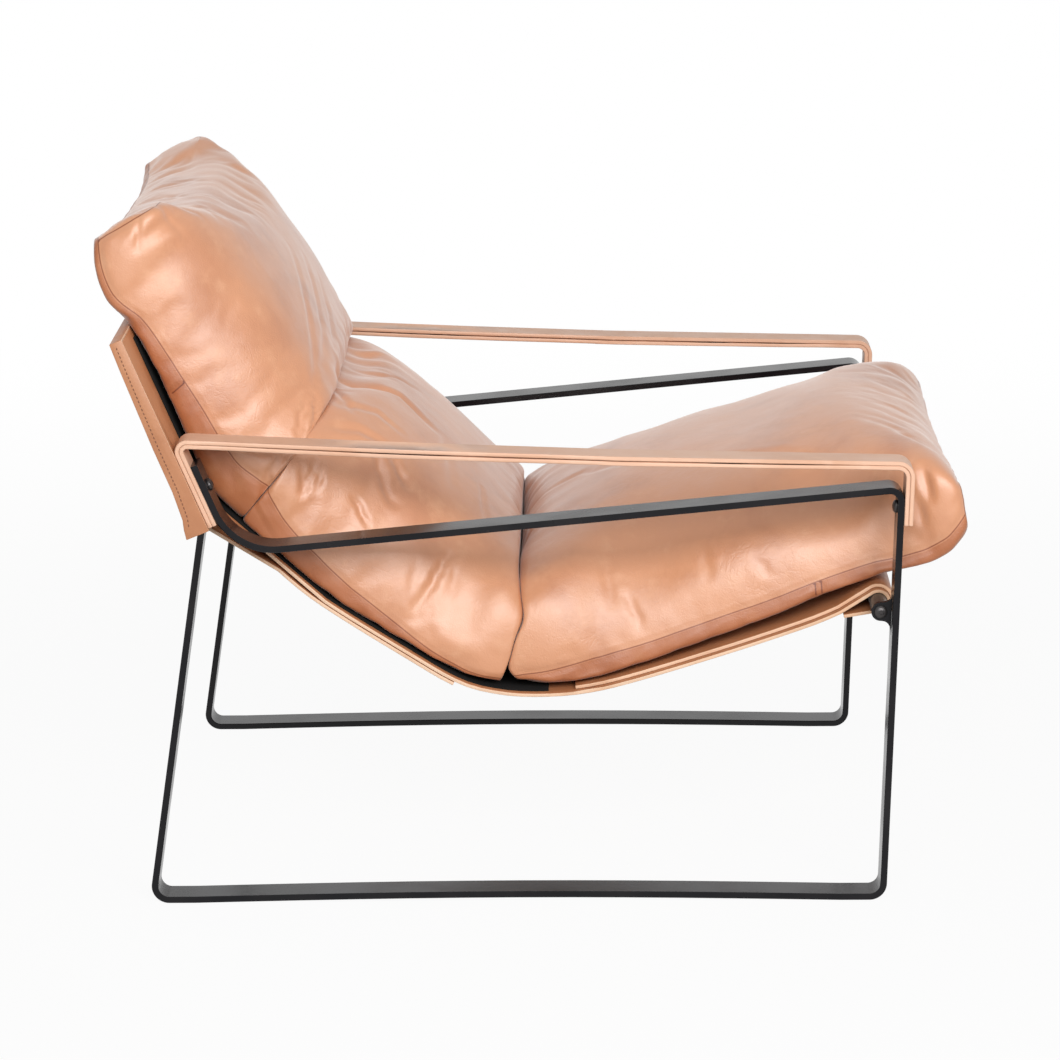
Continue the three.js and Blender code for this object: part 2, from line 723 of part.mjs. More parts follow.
function loft(rings) {
  const count = rings[0].length;
  const positions = [];
  const triangles = [];
  const addPoint = (point) => {
    positions.push(point.x, point.y, point.z);
  };
  rings.flat().forEach(addPoint);
  for (let i = 0; i < rings.length - 1; i += 1) {
    for (let j = 0; j < count; j += 1) {
      const next = (j + 1) % count;
      const [a, b] = [i * count + j, i * count + next];
      triangles.push(a, b, b + count, a, b + count, a + count);
    }
  }
  const middleOf = (ring) => ring.reduce((sum, point) => sum.add(point), new THREE.Vector3())
    .divideScalar(count);
  addPoint(middleOf(rings[0]));
  addPoint(middleOf(rings[rings.length - 1]));
  const first = rings.length * count;
  const lastRing = first - count;
  for (let j = 0; j < count; j += 1) {
    const next = (j + 1) % count;
    triangles.push(first, next, j, first + 1, lastRing + j, lastRing + next);
  }
  const geometry = new THREE.BufferGeometry();
  geometry.setAttribute('position', new THREE.Float32BufferAttribute(positions, 3));
  geometry.setIndex(triangles);
  geometry.computeVertexNormals();
  return geometry;
}

function straightRuns(path) {
  const line = new THREE.CurvePath();
  for (let i = 1; i < path.length; i += 1) line.add(new THREE.LineCurve(path[i - 1], path[i]));
  return line;
}

// Each station is a share of the length, a share of the thickness and a share of the width
function cushionGeometry(restLine, stations, thickness, startHeading, endHeading) {
  const rest = straightRuns(restLine);
  const heights = new THREE.SplineCurve(stations.map(([share, height]) => at(share, height)));
  const widths = new THREE.SplineCurve(stations.map(([share, , width]) => at(share, width)));
  const rings = [];
  for (let i = 0; i < ringCount; i += 1) {
    const t = i / (ringCount - 1);
    const height = heights.getPoint(t);
    const share = height.x;
    const foot = rest.getPointAt(Math.min(Math.max(share, 0), 1));
    const heading = startHeading + (endHeading - startHeading) * share;
    const halfWidth = slingEdgeY * widths.getPoint(t).y - cushionDrawIn * Math.sin(Math.PI * share);
    rings.push(ringAt(foot, fromAngle(heading).multiplyScalar(thickness * height.y), halfWidth));
  }
  return loft(rings);
}

function splitAt(path, share) {
  const line = straightRuns(path);
  const piece = (from, to, steps) => {
    const points = [];
    for (let i = 0; i <= steps; i += 1) points.push(line.getPointAt(from + (to - from) * i / steps));
    return points;
  };
  return [piece(0, share, ringCount), piece(share, 1, ringCount)];
}

function addBackCushions() {
  const rest = offsetPath(supportPath(uprightLength + headAboveSleeve), linerThickness / 2 + clearance);
  const endX = knee.x + rodSpan * creaseShare;
  const [headRest, lumbarRest] = splitAt(rest.filter((point) => point.x < endX), backFoldShare);
  const headShares = [[0, 0.42, 0.96], [0.06, 0.6, 0.99], [0.2, 0.77, 1], [0.45, 0.91, 1],
    [0.7, 1, 1], [0.9, 1, 1], [0.985, 0.92, 0.99]];
  const lumbarShares = [[0.015, 0.86, 0.99], [0.12, 0.89, 1], [0.35, 0.93, 1], [0.6, 0.92, 1],
    [0.85, 0.86, 1], [0.96, 0.76, 0.99], [0.99, 0.66, 0.97]];
  addPiece('back_cushion_upper',
    cushionGeometry(headRest, headShares, headThickness, headHeading, channelHeading), leather);
  addPiece('back_cushion_lower',
    cushionGeometry(lumbarRest, lumbarShares, lumbarThickness, channelHeading, creaseHeading), leather);
}

// The seat cushion lies along the sling, over the front rod, and turns up beyond it
function seatRestLine() {
  const run = pointsAfter(offsetPath(hangLine, seatOffset), seatStartShare);
  const lying = pointsBefore(run, seatLiftShare);
  const overFold = facingFoldRadius + slingLayer / 2 + 2 * clearance;
  const touch = tangentAngle(lying[lying.length - 1], frontRod, overFold, 1);
  const overRod = along(frontRod, fromAngle(touch), overFold);
  const noseShares = [[0.1, 0.1], [0.43, 0.29], [0.78, 0.6], [1, 1]];
  const nose = noseShares.map(([reach, rise]) => at(
    overRod.x + seatOverhang * reach, overRod.y + seatNoseRise * rise));
  return [...lying, overRod, ...nose];
}

function addSeatCushion() {
  const seatShares = [[0.004, 0.66, 0.97], [0.04, 0.76, 0.99], [0.16, 0.94, 1], [0.32, 0.98, 1],
    [0.5, 0.96, 1], [0.68, 0.95, 1], [0.8, 0.89, 1], [0.9, 0.76, 1], [0.97, 0.54, 0.99], [0.995, 0.34, 0.97]];
  addPiece('seat_cushion',
    cushionGeometry(seatRestLine(), seatShares, seatThickness, creaseHeading, noseHeading), leather);
}

addSideFrames();
addFrontRod();
addKneeRod();
addTopBar();
addStrapFasteners();
addArmStraps();
addSleeve();
addSling();
addBackCushions();
addSeatCushion();

// The origin lies on the floor under the middle of the chair
const box = new THREE.Box3().setFromObject(chair);
chair.position.x = -(box.min.x + box.max.x) / 2;

export default chair;
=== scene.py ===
# %% [markdown]
# # Leather sling lounge chair
# Two bent steel side frames carry a leather sling, a stiff leather sleeve for the back, two leather arm
# straps and soft leather cushions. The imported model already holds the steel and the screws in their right
# shape, so this lesson gives those a finish and makes everything that is leather or cloth anew.
# Lengths are in metres. X points to the front of the chair, Y to the sitter's left and Z up.

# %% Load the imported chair
import json
import math

import bmesh
import bpy
import numpy as np
from mathutils import Matrix, Vector, bvhtree, kdtree, noise


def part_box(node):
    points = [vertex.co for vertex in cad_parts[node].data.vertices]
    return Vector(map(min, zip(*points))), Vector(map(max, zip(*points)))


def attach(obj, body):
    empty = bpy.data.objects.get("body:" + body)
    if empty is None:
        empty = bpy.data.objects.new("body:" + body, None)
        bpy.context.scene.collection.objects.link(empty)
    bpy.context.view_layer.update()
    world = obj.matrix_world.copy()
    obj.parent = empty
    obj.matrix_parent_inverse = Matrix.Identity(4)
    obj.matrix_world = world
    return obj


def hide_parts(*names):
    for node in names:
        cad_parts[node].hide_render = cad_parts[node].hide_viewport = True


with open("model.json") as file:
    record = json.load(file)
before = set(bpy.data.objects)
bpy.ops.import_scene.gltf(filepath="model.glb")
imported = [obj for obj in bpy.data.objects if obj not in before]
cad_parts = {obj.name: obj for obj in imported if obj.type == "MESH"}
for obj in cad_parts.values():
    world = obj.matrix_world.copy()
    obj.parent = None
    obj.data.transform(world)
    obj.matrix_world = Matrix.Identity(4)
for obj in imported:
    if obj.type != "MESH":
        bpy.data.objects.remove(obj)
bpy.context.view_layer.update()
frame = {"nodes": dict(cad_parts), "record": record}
chair = frame["nodes"]
print("carried over", len(chair), "pieces")

# %% [markdown]
# ## Camera
# The picture was taken from the chair's right side with a long lens, from a little above and a long way off.
# A long lens keeps upright lines nearly parallel, which is why product pictures use one. The camera is placed
# by its pitch, yaw and roll, and its lens is worked out for a square image.

# %% Camera
camera_place = Vector((0.0563, -4.6038, 1.4290))
camera_pitch = math.radians(13.509)
camera_yaw = math.radians(-0.793)
camera_roll = math.radians(-0.518)
sensor_width = 36.0
focal_share = 3.9599

ahead = Vector((
    math.sin(camera_yaw) * math.cos(camera_pitch),
    math.cos(camera_yaw) * math.cos(camera_pitch),
    -math.sin(camera_pitch),
))
level_right = ahead.cross(Vector((0, 0, 1))).normalized()
level_up = level_right.cross(ahead)
right = math.cos(camera_roll) * level_right + math.sin(camera_roll) * level_up
up = -math.sin(camera_roll) * level_right + math.cos(camera_roll) * level_up

camera_data = bpy.data.cameras.new("camera")
camera_data.sensor_width = sensor_width
camera_data.lens = sensor_width * focal_share
camera = bpy.data.objects.new("camera", camera_data)
camera.matrix_world = Matrix.Translation(camera_place) @ Matrix((right, up, -ahead)).transposed().to_4x4()
bpy.context.scene.collection.objects.link(camera)
bpy.context.scene.camera = camera
print("lens", round(camera_data.lens, 1), "mm")

# %% [markdown]
# ## Light
# The picture is a bright studio cut-out: one large softbox on the side that the camera sees, a weak light
# from behind, and white all round. A bright world alone would give soft light too, but the leather would
# then show no broad highlights, so two area lamps are used. The world is white where the camera or a
# reflection looks at it, and dimmer where it lights the chair, so that colours don't wash out.

# %% Helpers for shader nodes
scene = bpy.context.scene
scene.view_settings.view_transform = "Standard"
white = (1, 1, 1, 1)


def add(tree, kind, **values):
    """A shader node with its settings and its input values."""
    node = tree.nodes.new("ShaderNode" + kind)
    for name, value in values.items():
        if hasattr(node, name):
            setattr(node, name, value)
        else:
            node.inputs[name.replace("_", " ")].default_value = value
    return node


def feed(tree, sockets, sources):
    """Gives each socket its source, which is another node's output or a plain value."""
    for socket, source in zip(sockets, sources):
        if isinstance(source, bpy.types.NodeSocket):
            tree.links.new(source, socket)
        else:
            socket.default_value = source


def calc(tree, operation, *sources):
    """The result of a sum on outputs and numbers."""
    node = add(tree, "Math", operation=operation)
    feed(tree, node.inputs, sources)
    return node.outputs[0]


def ramp(tree, source, low, high, low_value, high_value):
    """A soft step from one value to another, while the source runs from low to high."""
    node = add(tree, "MapRange", interpolation_type="SMOOTHSTEP",
               From_Min=low, From_Max=high, To_Min=low_value, To_Max=high_value)
    feed(tree, node.inputs, [source])
    return node.outputs[0]


def end_in_mix(tree, kind, share, first, second):
    """Ends a tree in a share of the second shader over the first."""
    mix, out = add(tree, "MixShader"), add(tree, kind)
    feed(tree, mix.inputs, [share, first.outputs[0], second.outputs[0]])
    feed(tree, out.inputs, [mix.outputs[0]])


print("view transform", scene.view_settings.view_transform)

# %% World
world_light = 0.30


def seen_directly(tree):
    """One where the camera, a reflection or a refraction looks, and zero for light that falls."""
    path = add(tree, "LightPath")
    seen = calc(tree, "MAXIMUM", path.outputs["Is Camera Ray"], path.outputs["Is Glossy Ray"])
    return calc(tree, "MAXIMUM", seen, path.outputs["Is Transmission Ray"])


def make_world(light_level):
    world = bpy.data.worlds.new("studio")
    scene.world = world
    world.use_nodes = True
    tree = world.node_tree
    tree.nodes.clear()
    lit = add(tree, "Background", Color=white, Strength=light_level)
    seen = add(tree, "Background", Color=white, Strength=1.0)
    end_in_mix(tree, "OutputWorld", seen_directly(tree), lit, seen)
    print(world.name, "lights at", light_level)


make_world(world_light)

# %% Softboxes
aimed_at = (0.0, 0.0, 0.4)
softboxes = {
    "side_softbox": {"place": (0.6, -3.2, 1.95), "size": (3.0, 1.5), "power": 127},
    "rear_softbox": {"place": (-2.2, 1.4, 1.5), "size": (1.4, 1.4), "power": 8},
}


def add_softbox(name, place, size, power):
    data = bpy.data.lights.new(name, "AREA")
    data.shape = "RECTANGLE"
    data.size, data.size_y = size
    data.energy = power
    lamp = bpy.data.objects.new(name, data)
    lamp.location = place
    lamp.rotation_euler = (Vector(aimed_at) - Vector(place)).to_track_quat("-Z", "Y").to_euler()
    scene.collection.objects.link(lamp)
    print(name, power, "W at", place)


for name, settings in softboxes.items():
    add_softbox(name, **settings)

# %% [markdown]
# The floor is pale and has no edge in view. Part of its brightness is its own, for the eye only, so that it
# meets the white of the world, and the rest is light that falls on it, so the chair's shadow stays.

# %% Floor
floor_half = 12.0
floor_grey = (0.62, 0.62, 0.62, 1)
near_glow, far_glow = 0.94, 1.0
glow_from, glow_full = 0.7, 3.0


def floor_material():
    material = bpy.data.materials.new("studio_floor")
    material.use_nodes = True
    tree = material.node_tree
    tree.nodes.clear()
    matt = add(tree, "BsdfDiffuse", Color=floor_grey)
    glow = add(tree, "Emission", Color=white, Strength=1.0)
    place = add(tree, "TexCoord")
    away = add(tree, "VectorMath", operation="LENGTH")
    feed(tree, away.inputs, [place.outputs["Object"]])
    glow_share = ramp(tree, away.outputs["Value"], glow_from, glow_full, near_glow, far_glow)
    end_in_mix(tree, "OutputMaterial", calc(tree, "MULTIPLY", seen_directly(tree), glow_share), matt, glow)
    return material


def make_floor():
    mesh = bmesh.new()
    bmesh.ops.create_grid(mesh, x_segments=1, y_segments=1, size=floor_half)
    data = bpy.data.meshes.new("studio_floor")
    mesh.to_mesh(data)
    mesh.free()
    data.materials.append(floor_material())
    floor = bpy.data.objects.new("studio_floor", data)
    scene.collection.objects.link(floor)
    print("floor", 2 * floor_half, "m wide")


make_floor()

# %% [markdown]
# ## Shared effects
# Several finishes share the same effects, so each effect is a node group with its own inputs, built once and
# placed in each material with its own values. A group gives out only what changes over the surface: a
# colour, a roughness and a normal.

# %% Helpers for node groups
surface_outputs = [("Colour", "Color"), ("Roughness", "Float"), ("Normal", "Vector")]


def new_group(name, inputs):
    """A group with these inputs and the surface outputs, and the sockets at its start and its end."""
    tree = bpy.data.node_groups.new(name, "ShaderNodeTree")
    for label, kind, value in inputs:
        socket = tree.interface.new_socket(label, in_out="INPUT", socket_type="NodeSocket" + kind)
        socket.default_value = value
    for label, kind in surface_outputs:
        tree.interface.new_socket(label, in_out="OUTPUT", socket_type="NodeSocket" + kind)
    return tree, tree.nodes.new("NodeGroupInput").outputs, tree.nodes.new("NodeGroupOutput").inputs


def noise_on(tree, kind="TexNoise", **values):
    """A noise in metres on the piece."""
    place, node = add(tree, "TexCoord"), add(tree, kind, **values)
    tree.links.new(place.outputs["Object"], node.inputs["Vector"])
    return node.outputs[0]


def valley(tree, source, width):
    """One along the middle level of a noise, which runs as a winding line, and zero beside it."""
    size = calc(tree, "ABSOLUTE", calc(tree, "SUBTRACT", source, 0.5))
    return ramp(tree, size, 0.0, width, 1.0, 0.0)


def tint(tree, share, colour, other, blend="MIX"):
    """A share of another colour over a colour."""
    node = add(tree, "MixRGB", blend_type=blend)
    feed(tree, node.inputs, [share, colour, other])
    return node.outputs[0]


def relief(tree, height, strength, distance, under=None, invert=False):
    """A bump on top of the bump under it."""
    node = add(tree, "Bump", Strength=strength, Distance=distance, invert=invert)
    tree.links.new(height, node.inputs["Height"])
    if under is not None:
        tree.links.new(under, node.inputs["Normal"])
    return node.outputs[0]


print("each group gives", [label for label, kind in surface_outputs])

# %% [markdown]
# Leather has several scales of detail: cloudy changes of colour where the oil in it has moved, soft slack,
# fine creases that catch the light, and a pebbled grain about a millimetre across. A photograph of leather
# would give all of them at once but would repeat and blur, so each is a noise in metres on the piece.

# %% Leather skin
deepest, palest = 0.7, 0.45
crease_width, fine_crease_width = 0.018, 0.03
grain_relief, crease_relief = (0.35, 0.0004), (0.25, 0.0008)
crinkle_relief, slack_relief = (0.5, 0.0010), (0.35, 0.0025)


def leather_group():
    tree, start, end = new_group("leather_skin", [
        ("Colour", "Color", (0.6, 0.3, 0.15, 1)), ("Deep", "Color", (0.5, 0.22, 0.1, 1)),
        ("Pale", "Color", (0.75, 0.5, 0.32, 1)), ("Creases", "Float", 0.5), ("Grain", "Float", 0.5),
        ("Roughness", "Float", 0.45)])
    cloud = noise_on(tree, Scale=9.0, Detail=4.0, Roughness=0.55, Distortion=0.4)
    patch = noise_on(tree, Scale=34.0, Detail=5.0, Roughness=0.6)
    colour = tint(tree, ramp(tree, cloud, 0.42, 0.72, 0.0, deepest), start["Colour"], start["Deep"])
    colour = tint(tree, ramp(tree, patch, 0.5, 0.8, 0.0, palest), colour, start["Pale"])
    roughness = calc(tree, "ADD", ramp(tree, patch, 0.3, 0.75, -0.07, 0.1), start["Roughness"])

    vein = noise_on(tree, Scale=16.0, Detail=4.0, Roughness=0.6, Distortion=0.9)
    strand = noise_on(tree, Scale=48.0, Detail=3.0, Roughness=0.5, Distortion=0.6)
    lines = calc(tree, "MAXIMUM", valley(tree, vein, crease_width), valley(tree, strand, fine_crease_width))
    where = ramp(tree, noise_on(tree, Scale=6.5, Detail=2.0), 0.46, 0.66, 0.0, 1.0)
    pebble, pores = noise_on(tree, "TexVoronoi", Scale=620.0), noise_on(tree, Scale=1400.0, Detail=2.0)
    grain = calc(tree, "ADD", pebble, pores)
    crinkle = noise_on(tree, Scale=95.0, Detail=3.0, Roughness=0.5, Distortion=0.5)
    slack = noise_on(tree, Scale=24.0, Detail=4.0, Roughness=0.55, Distortion=1.4)
    grain = calc(tree, "MULTIPLY", grain, start["Grain"])
    lines, crinkle, slack = (
        calc(tree, "MULTIPLY", height, start["Creases"])
        for height in (calc(tree, "MULTIPLY", lines, where), crinkle, slack))
    normal = relief(tree, grain, *grain_relief)
    normal = relief(tree, lines, *crease_relief, normal, invert=True)
    normal = relief(tree, crinkle, *crinkle_relief, normal)
    normal = relief(tree, slack, *slack_relief, normal)
    feed(tree, end, [colour, roughness, normal])
    return tree


leather_skin = leather_group()
print("group", leather_skin.name, "with", len(leather_skin.nodes), "nodes")

# %% [markdown]
# Powder coat is a baked layer of paint: nearly even, a little hazy in large patches, and with the faint
# dimples of orange peel. The canvas and the thread use the same group with a high roughness, because at
# their size only a colour and a dull surface can be seen.

# %% Powder coat
worn_tone = (0.06, 0.052, 0.05, 1)
peel_relief = (0.25, 0.0002)


def coating_group():
    tree, start, end = new_group("powder_coat", [
        ("Colour", "Color", (0.02, 0.02, 0.02, 1)), ("Roughness", "Float", 0.4)])
    haze = noise_on(tree, Scale=14.0, Detail=5.0)
    peel = noise_on(tree, Scale=420.0, Detail=2.0)
    colour = tint(tree, ramp(tree, haze, 0.35, 0.75, 0.0, 0.12), start["Colour"], worn_tone)
    roughness = calc(tree, "ADD", ramp(tree, haze, 0.3, 0.7, -0.05, 0.08), start["Roughness"])
    feed(tree, end, [colour, roughness, relief(tree, peel, *peel_relief)])
    return tree


powder_coat = coating_group()
print("group", powder_coat.name, "with", len(powder_coat.nodes), "nodes")

# %% [markdown]
# ## Finishes
# Each finish is a Principled shader fed by one of the groups. What is the same all over a surface, such as
# how strongly it mirrors, is set on the shader itself, so that it also reaches a program that can't read
# nodes.

# %% Helpers for finishes


def finish_with(name, group, inputs, **settings):
    """A Principled shader that takes its colour, roughness and normal from a group."""
    material = bpy.data.materials.new(name)
    material.use_nodes = True
    tree = material.node_tree
    shader = tree.nodes["Principled BSDF"]
    node = tree.nodes.new("ShaderNodeGroup")
    node.node_tree = group
    feed(tree, node.inputs, inputs)
    feed(tree, [shader.inputs[label] for label in ("Base Color", "Roughness", "Normal")], node.outputs)
    for label, value in settings.items():
        shader.inputs[label.replace("_", " ")].default_value = value
    return material


def leather(name, colour, deep, pale, creases, grain, roughness, **settings):
    inputs = [(*colour, 1), (*deep, 1), (*pale, 1), creases, grain, roughness]
    material = finish_with(name, leather_skin, inputs, **settings)
    shader = material.node_tree.nodes["Principled BSDF"]
    feed(material.node_tree, [shader.inputs["Coat Normal"]], [shader.inputs["Normal"].links[0].from_socket])
    return material


def coated_steel(name, colour, roughness, **settings):
    return finish_with(name, powder_coat, [(*colour, 1), roughness], **settings)


# %% [markdown]
# The cushion covers are sewn, and a seam shows as a fine dark line in a soft dip. The narrow strip below the
# seam, the boxing, lies in the shade of the crown; that shade is painted into its colour as a deeper tone,
# and its coat is made duller. Drawn lines would need an image, so the cushion mesh stores two things at each
# of its points instead, and the finish reads them: how far the nearest seam is, and where the point lay on
# the box of cloth that the cushion was made from.

# %% Seams on the cushions
# The second colour is painted shade: it darkens the boxing below the seam, where the crown shades it.
seam_tone, boxing_painted_shade = (0.36, 0.2, 0.11, 1), (0.69, 0.54, 0.43, 1)
seam_half_width, dip_half_width, dip_relief = 0.0013, 0.008, (0.35, 0.0020)
boxing_from, boxing_to = -0.735, -0.70
boxing_gloss, seam_gloss, gloss_half_width = 0.15, 0.1, 0.002


def seamed(material):
    """Adds the dark dip of a seam where seam_distance runs to zero, and the painted shade of the boxing."""
    tree = material.node_tree
    shader = tree.nodes["Principled BSDF"]
    colour, normal = (shader.inputs[label].links[0].from_socket for label in ("Base Color", "Normal"))
    away = add(tree, "Attribute", attribute_name="seam_distance").outputs["Fac"]
    axes = add(tree, "SeparateXYZ")
    feed(tree, axes.inputs, [add(tree, "Attribute", attribute_name="corner").outputs["Vector"]])
    up_box = axes.outputs["Z"]

    # Painted shade: the boxing below the seam is multiplied darker, as if the crown above shades it.
    colour = tint(tree, ramp(tree, up_box, boxing_from, boxing_to, 1.0, 0.0), colour, boxing_painted_shade, "MULTIPLY")
    colour = tint(tree, ramp(tree, away, 0.0, seam_half_width, 1.0, 0.0), colour, seam_tone, "MULTIPLY")
    gloss = calc(tree, "MULTIPLY", ramp(tree, up_box, boxing_from, boxing_to, boxing_gloss, 1.0),
                 ramp(tree, away, 0.0, gloss_half_width, seam_gloss, 1.0))
    dip = relief(tree, ramp(tree, away, 0.0, dip_half_width, 1.0, 0.0), *dip_relief, normal, invert=True)
    wanted = [shader.inputs[label] for label in ("Base Color", "Coat Weight", "Normal", "Coat Normal")]
    feed(tree, wanted, [colour, gloss, dip, dip])
    return material


print("seam", 2000 * seam_half_width, "mm wide")

# %% [markdown]
# Four leathers are needed: the glossy, clouded cover of the cushions, the stiffer sling and sleeve, the pale
# strap leather, and the raw edge that shows wherever thick leather was cut. The coat on the cushion leather
# is the wax that gives it its broad highlights.

# %% Leathers
cushion_leather = seamed(leather(
    "cushion_leather", (0.58, 0.247, 0.112), (0.41, 0.142, 0.050), (0.71, 0.375, 0.21),
    0.45, 0.6, 0.5, Specular_IOR_Level=0.6, Coat_Weight=1.0, Coat_IOR=1.65, Coat_Roughness=0.45,
    Sheen_Weight=0.3, Sheen_Roughness=0.4))
sling_leather = leather(
    "sling_leather", (0.46, 0.195, 0.087), (0.36, 0.135, 0.053), (0.58, 0.30, 0.165),
    0.25, 0.35, 0.45, Specular_IOR_Level=0.7)
strap_leather = leather(
    "strap_leather", (0.71, 0.435, 0.30), (0.62, 0.34, 0.21), (0.80, 0.56, 0.42),
    0.15, 0.3, 0.45, Specular_IOR_Level=0.5)
cut_edge = leather(
    "cut_edge", (0.78, 0.54, 0.38), (0.66, 0.38, 0.22), (0.86, 0.66, 0.50),
    0.0, 1.0, 0.7, Specular_IOR_Level=0.3)
for finish in (cushion_leather, sling_leather, strap_leather, cut_edge):
    print("leather finish", finish.name)

# %% Coatings, canvas and thread
frame_black = coated_steel("frame_black", (0.004, 0.0038, 0.0055), 0.2, Specular_IOR_Level=0.22)
rod_black = coated_steel("rod_black", (0.03, 0.026, 0.025), 0.32, Specular_IOR_Level=0.6)
screw_black = coated_steel("screw_black", (0.05, 0.045, 0.045), 0.3, Metallic=0.6)
black_canvas = coated_steel("black_canvas", (0.006, 0.006, 0.006), 0.9, Specular_IOR_Level=0.2)
thread = coated_steel("thread", (0.19, 0.075, 0.038), 0.6)
for finish in (frame_black, rod_black, screw_black, black_canvas, thread):
    print("coated finish", finish.name)

# %% [markdown]
# The steel frame, the rods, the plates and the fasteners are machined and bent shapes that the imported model
# already has right. They stay as they are and only get their finish, chosen by the slot that the record gives
# each of them.

# %% Finishes of the carried-over pieces
slot_finish = {"frame": frame_black, "rod": rod_black, "hardware": screw_black}
finished = []
for part in frame["record"]["subparts"]:
    finish = slot_finish.get(part["material_slot"])
    if finish:
        node = chair[part["node"]]
        for slot in node.material_slots:
            slot.material = finish
        if not node.material_slots:
            node.data.materials.append(finish)
        finished.append(node.name)
print("finished", len(finished), "carried-over pieces")

# %% [markdown]
# ## Leather sheets
# The sling, the sleeve and the straps are cut from thick leather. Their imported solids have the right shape
# but sharp edges and dead straight lines. Each new sheet starts from a copy of its solid, gets its thin rims
# marked as cut edge, is cut across so that it can bend, is rounded along its edges, and is moved by a slow
# wave that is the same for all neighbours, so that stacked layers bend together.

# %% How the sheets hang
hang_from, hang_to, stretch, hang_shape = -0.27, 0.335, 0.0032, 0.6
wave_size, wave_length, wave_aside = 0.0012, 0.12, 0.3
strap_from, strap_to, strap_above, strap_slack = -0.30, 0.33, 0.45, 0.0014


def stretch_sag(x):
    """How much lower the worn sling hangs between its rods than a new one."""
    share = min(max((x - hang_from) / (hang_to - hang_from), 0.0), 1.0)
    return stretch * math.sin(math.pi * share) ** hang_shape


def lining_wave(point):
    """The canvas only hangs lower with the sling."""
    return Vector((0.0, 0.0, -stretch_sag(point.x)))


def worn_wave(point):
    """A gentle shift that depends only on the place along and across the chair."""
    spot = Vector((point.x, point.y, 0.0)) / wave_length
    aside = wave_aside * noise.noise(spot + Vector((7, 3, 1)))
    return lining_wave(point) + wave_size * Vector((0.0, aside, noise.noise(spot)))


def slack_lining(point):
    """How far the under layer of an arm strap hangs away from the top layer between its bends."""
    share = (point.x - strap_from) / (strap_to - strap_from)
    if not 0 < share < 1 or point.z < strap_above:
        return Vector()
    hang = 0.6 + 0.4 * noise.noise(Vector((point.x * 9.0, point.y * 3.0, 2.0)))
    return Vector((0.0, 0.0, -strap_slack * hang * math.sin(math.pi * share) ** 0.5))


print("the sling hangs", 1000 * stretch_sag((hang_from + hang_to) / 2), "mm lower at its middle")

# %% Helpers for pieces
edge_angle = math.radians(50)
thin_share = 1.3


def mark_rims(mesh, thickness):
    """Gives material 1 to thin faces between two sharp edges."""
    rims = []
    for face in mesh.faces:
        edges = sorted(face.edges, key=lambda edge: edge.calc_length())[-2:]
        around = sum(edge.calc_length() for edge in face.edges)
        thin = face.calc_area() / (around / 2) < thin_share * thickness
        sharp = all(edge.is_manifold and edge.calc_face_angle() > edge_angle for edge in edges)
        if thin and sharp:
            rims.append(face)
    for face in rims:
        face.material_index = 1


def finish_piece(name, mesh, materials):
    data = bpy.data.meshes.new(name)
    mesh.to_mesh(data)
    mesh.free()
    for material in materials:
        data.materials.append(material)
    for face in data.polygons:
        face.use_smooth = True
    piece = bpy.data.objects.new(name, data)
    scene.collection.objects.link(piece)
    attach(piece, "root")
    return piece


print("edges over", round(math.degrees(edge_angle)), "degrees are cut edges")

# %% One sheet
merge_reach, flat_angle, smooth_angle = 1e-6, math.radians(0.5), math.radians(35)


def sheet_from(node, name, materials, thickness, round_edge, cuts, wave=None):
    mesh = bmesh.new()
    mesh.from_mesh(chair[node].data)
    bmesh.ops.remove_doubles(mesh, verts=mesh.verts, dist=merge_reach)
    bmesh.ops.dissolve_limit(mesh, angle_limit=flat_angle, verts=mesh.verts, edges=mesh.edges)
    mark_rims(mesh, thickness)
    low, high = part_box(node)
    for axis, count in enumerate(cuts):
        across = Vector((1 - axis, axis, 0))
        for k in range(1, count):
            everything = mesh.verts[:] + mesh.edges[:] + mesh.faces[:]
            place = low.lerp(high, k / count)
            bmesh.ops.bisect_plane(mesh, geom=everything, plane_co=place, plane_no=across)
    sharp = [e for e in mesh.edges if e.is_manifold and e.calc_face_angle() > edge_angle]
    bmesh.ops.bevel(
        mesh, geom=sharp, offset=round_edge, segments=2, profile=0.5, affect="EDGES", material=-1)
    if wave:
        for vert in mesh.verts:
            vert.co += wave(vert.co)
    piece = finish_piece(name, mesh, materials)
    piece.data.set_sharp_from_angle(angle=smooth_angle)
    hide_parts(node)
    print(name, len(piece.data.polygons), "faces")
    return piece


print("sheets stay smooth up to", round(math.degrees(smooth_angle)), "degrees")

# %% [markdown]
# Each arm strap is two layers of pale leather, one on the other, stretched between the front leg and the rear
# upright. The top layer lies straight, and the under layer hangs a little away from it between its bends.

# %% Arm straps
strap_finish = [strap_leather, cut_edge]
strap_thickness, strap_rounding, strap_cuts = 0.0044, 0.0008, (28, 1)
for side in ("left", "right"):
    for layer in ("top", "lining"):
        node = f"arm_strap_{layer}_{side}"
        wave = slack_lining if layer == "lining" else None
        strap = sheet_from(
            node, f"strap_{layer}_{side}", strap_finish, strap_thickness, strap_rounding, strap_cuts, wave)

# %% [markdown]
# The sling is one hide that hangs from the front rod to the knee rod, with a second layer on its front half
# and a black canvas lining behind the cushions. All three share the stretch of the worn sling, so they stay
# in contact.

# %% Sling, facing and lining
sling_finish = [sling_leather, cut_edge]
sling_thickness, sling_rounding = 0.0038, 0.0007
lining_thickness, lining_rounding = 0.0015, 0.0003
crosswise_cuts = (1, 24)
sling = sheet_from(
    "sling", "sling_main", sling_finish, sling_thickness, sling_rounding, crosswise_cuts, worn_wave)
facing = sheet_from(
    "sling_seat_facing", "sling_facing", sling_finish, sling_thickness, sling_rounding, crosswise_cuts,
    worn_wave)
lining = sheet_from(
    "support_lining", "black_lining", [black_canvas, black_canvas], lining_thickness, lining_rounding,
    crosswise_cuts, lining_wave)

# %% [markdown]
# The sleeve is pulled over the two uprights like a sock: a back panel, a front panel and a strip round its
# sides and top that joins them. It is stretched, so it gets no wave.

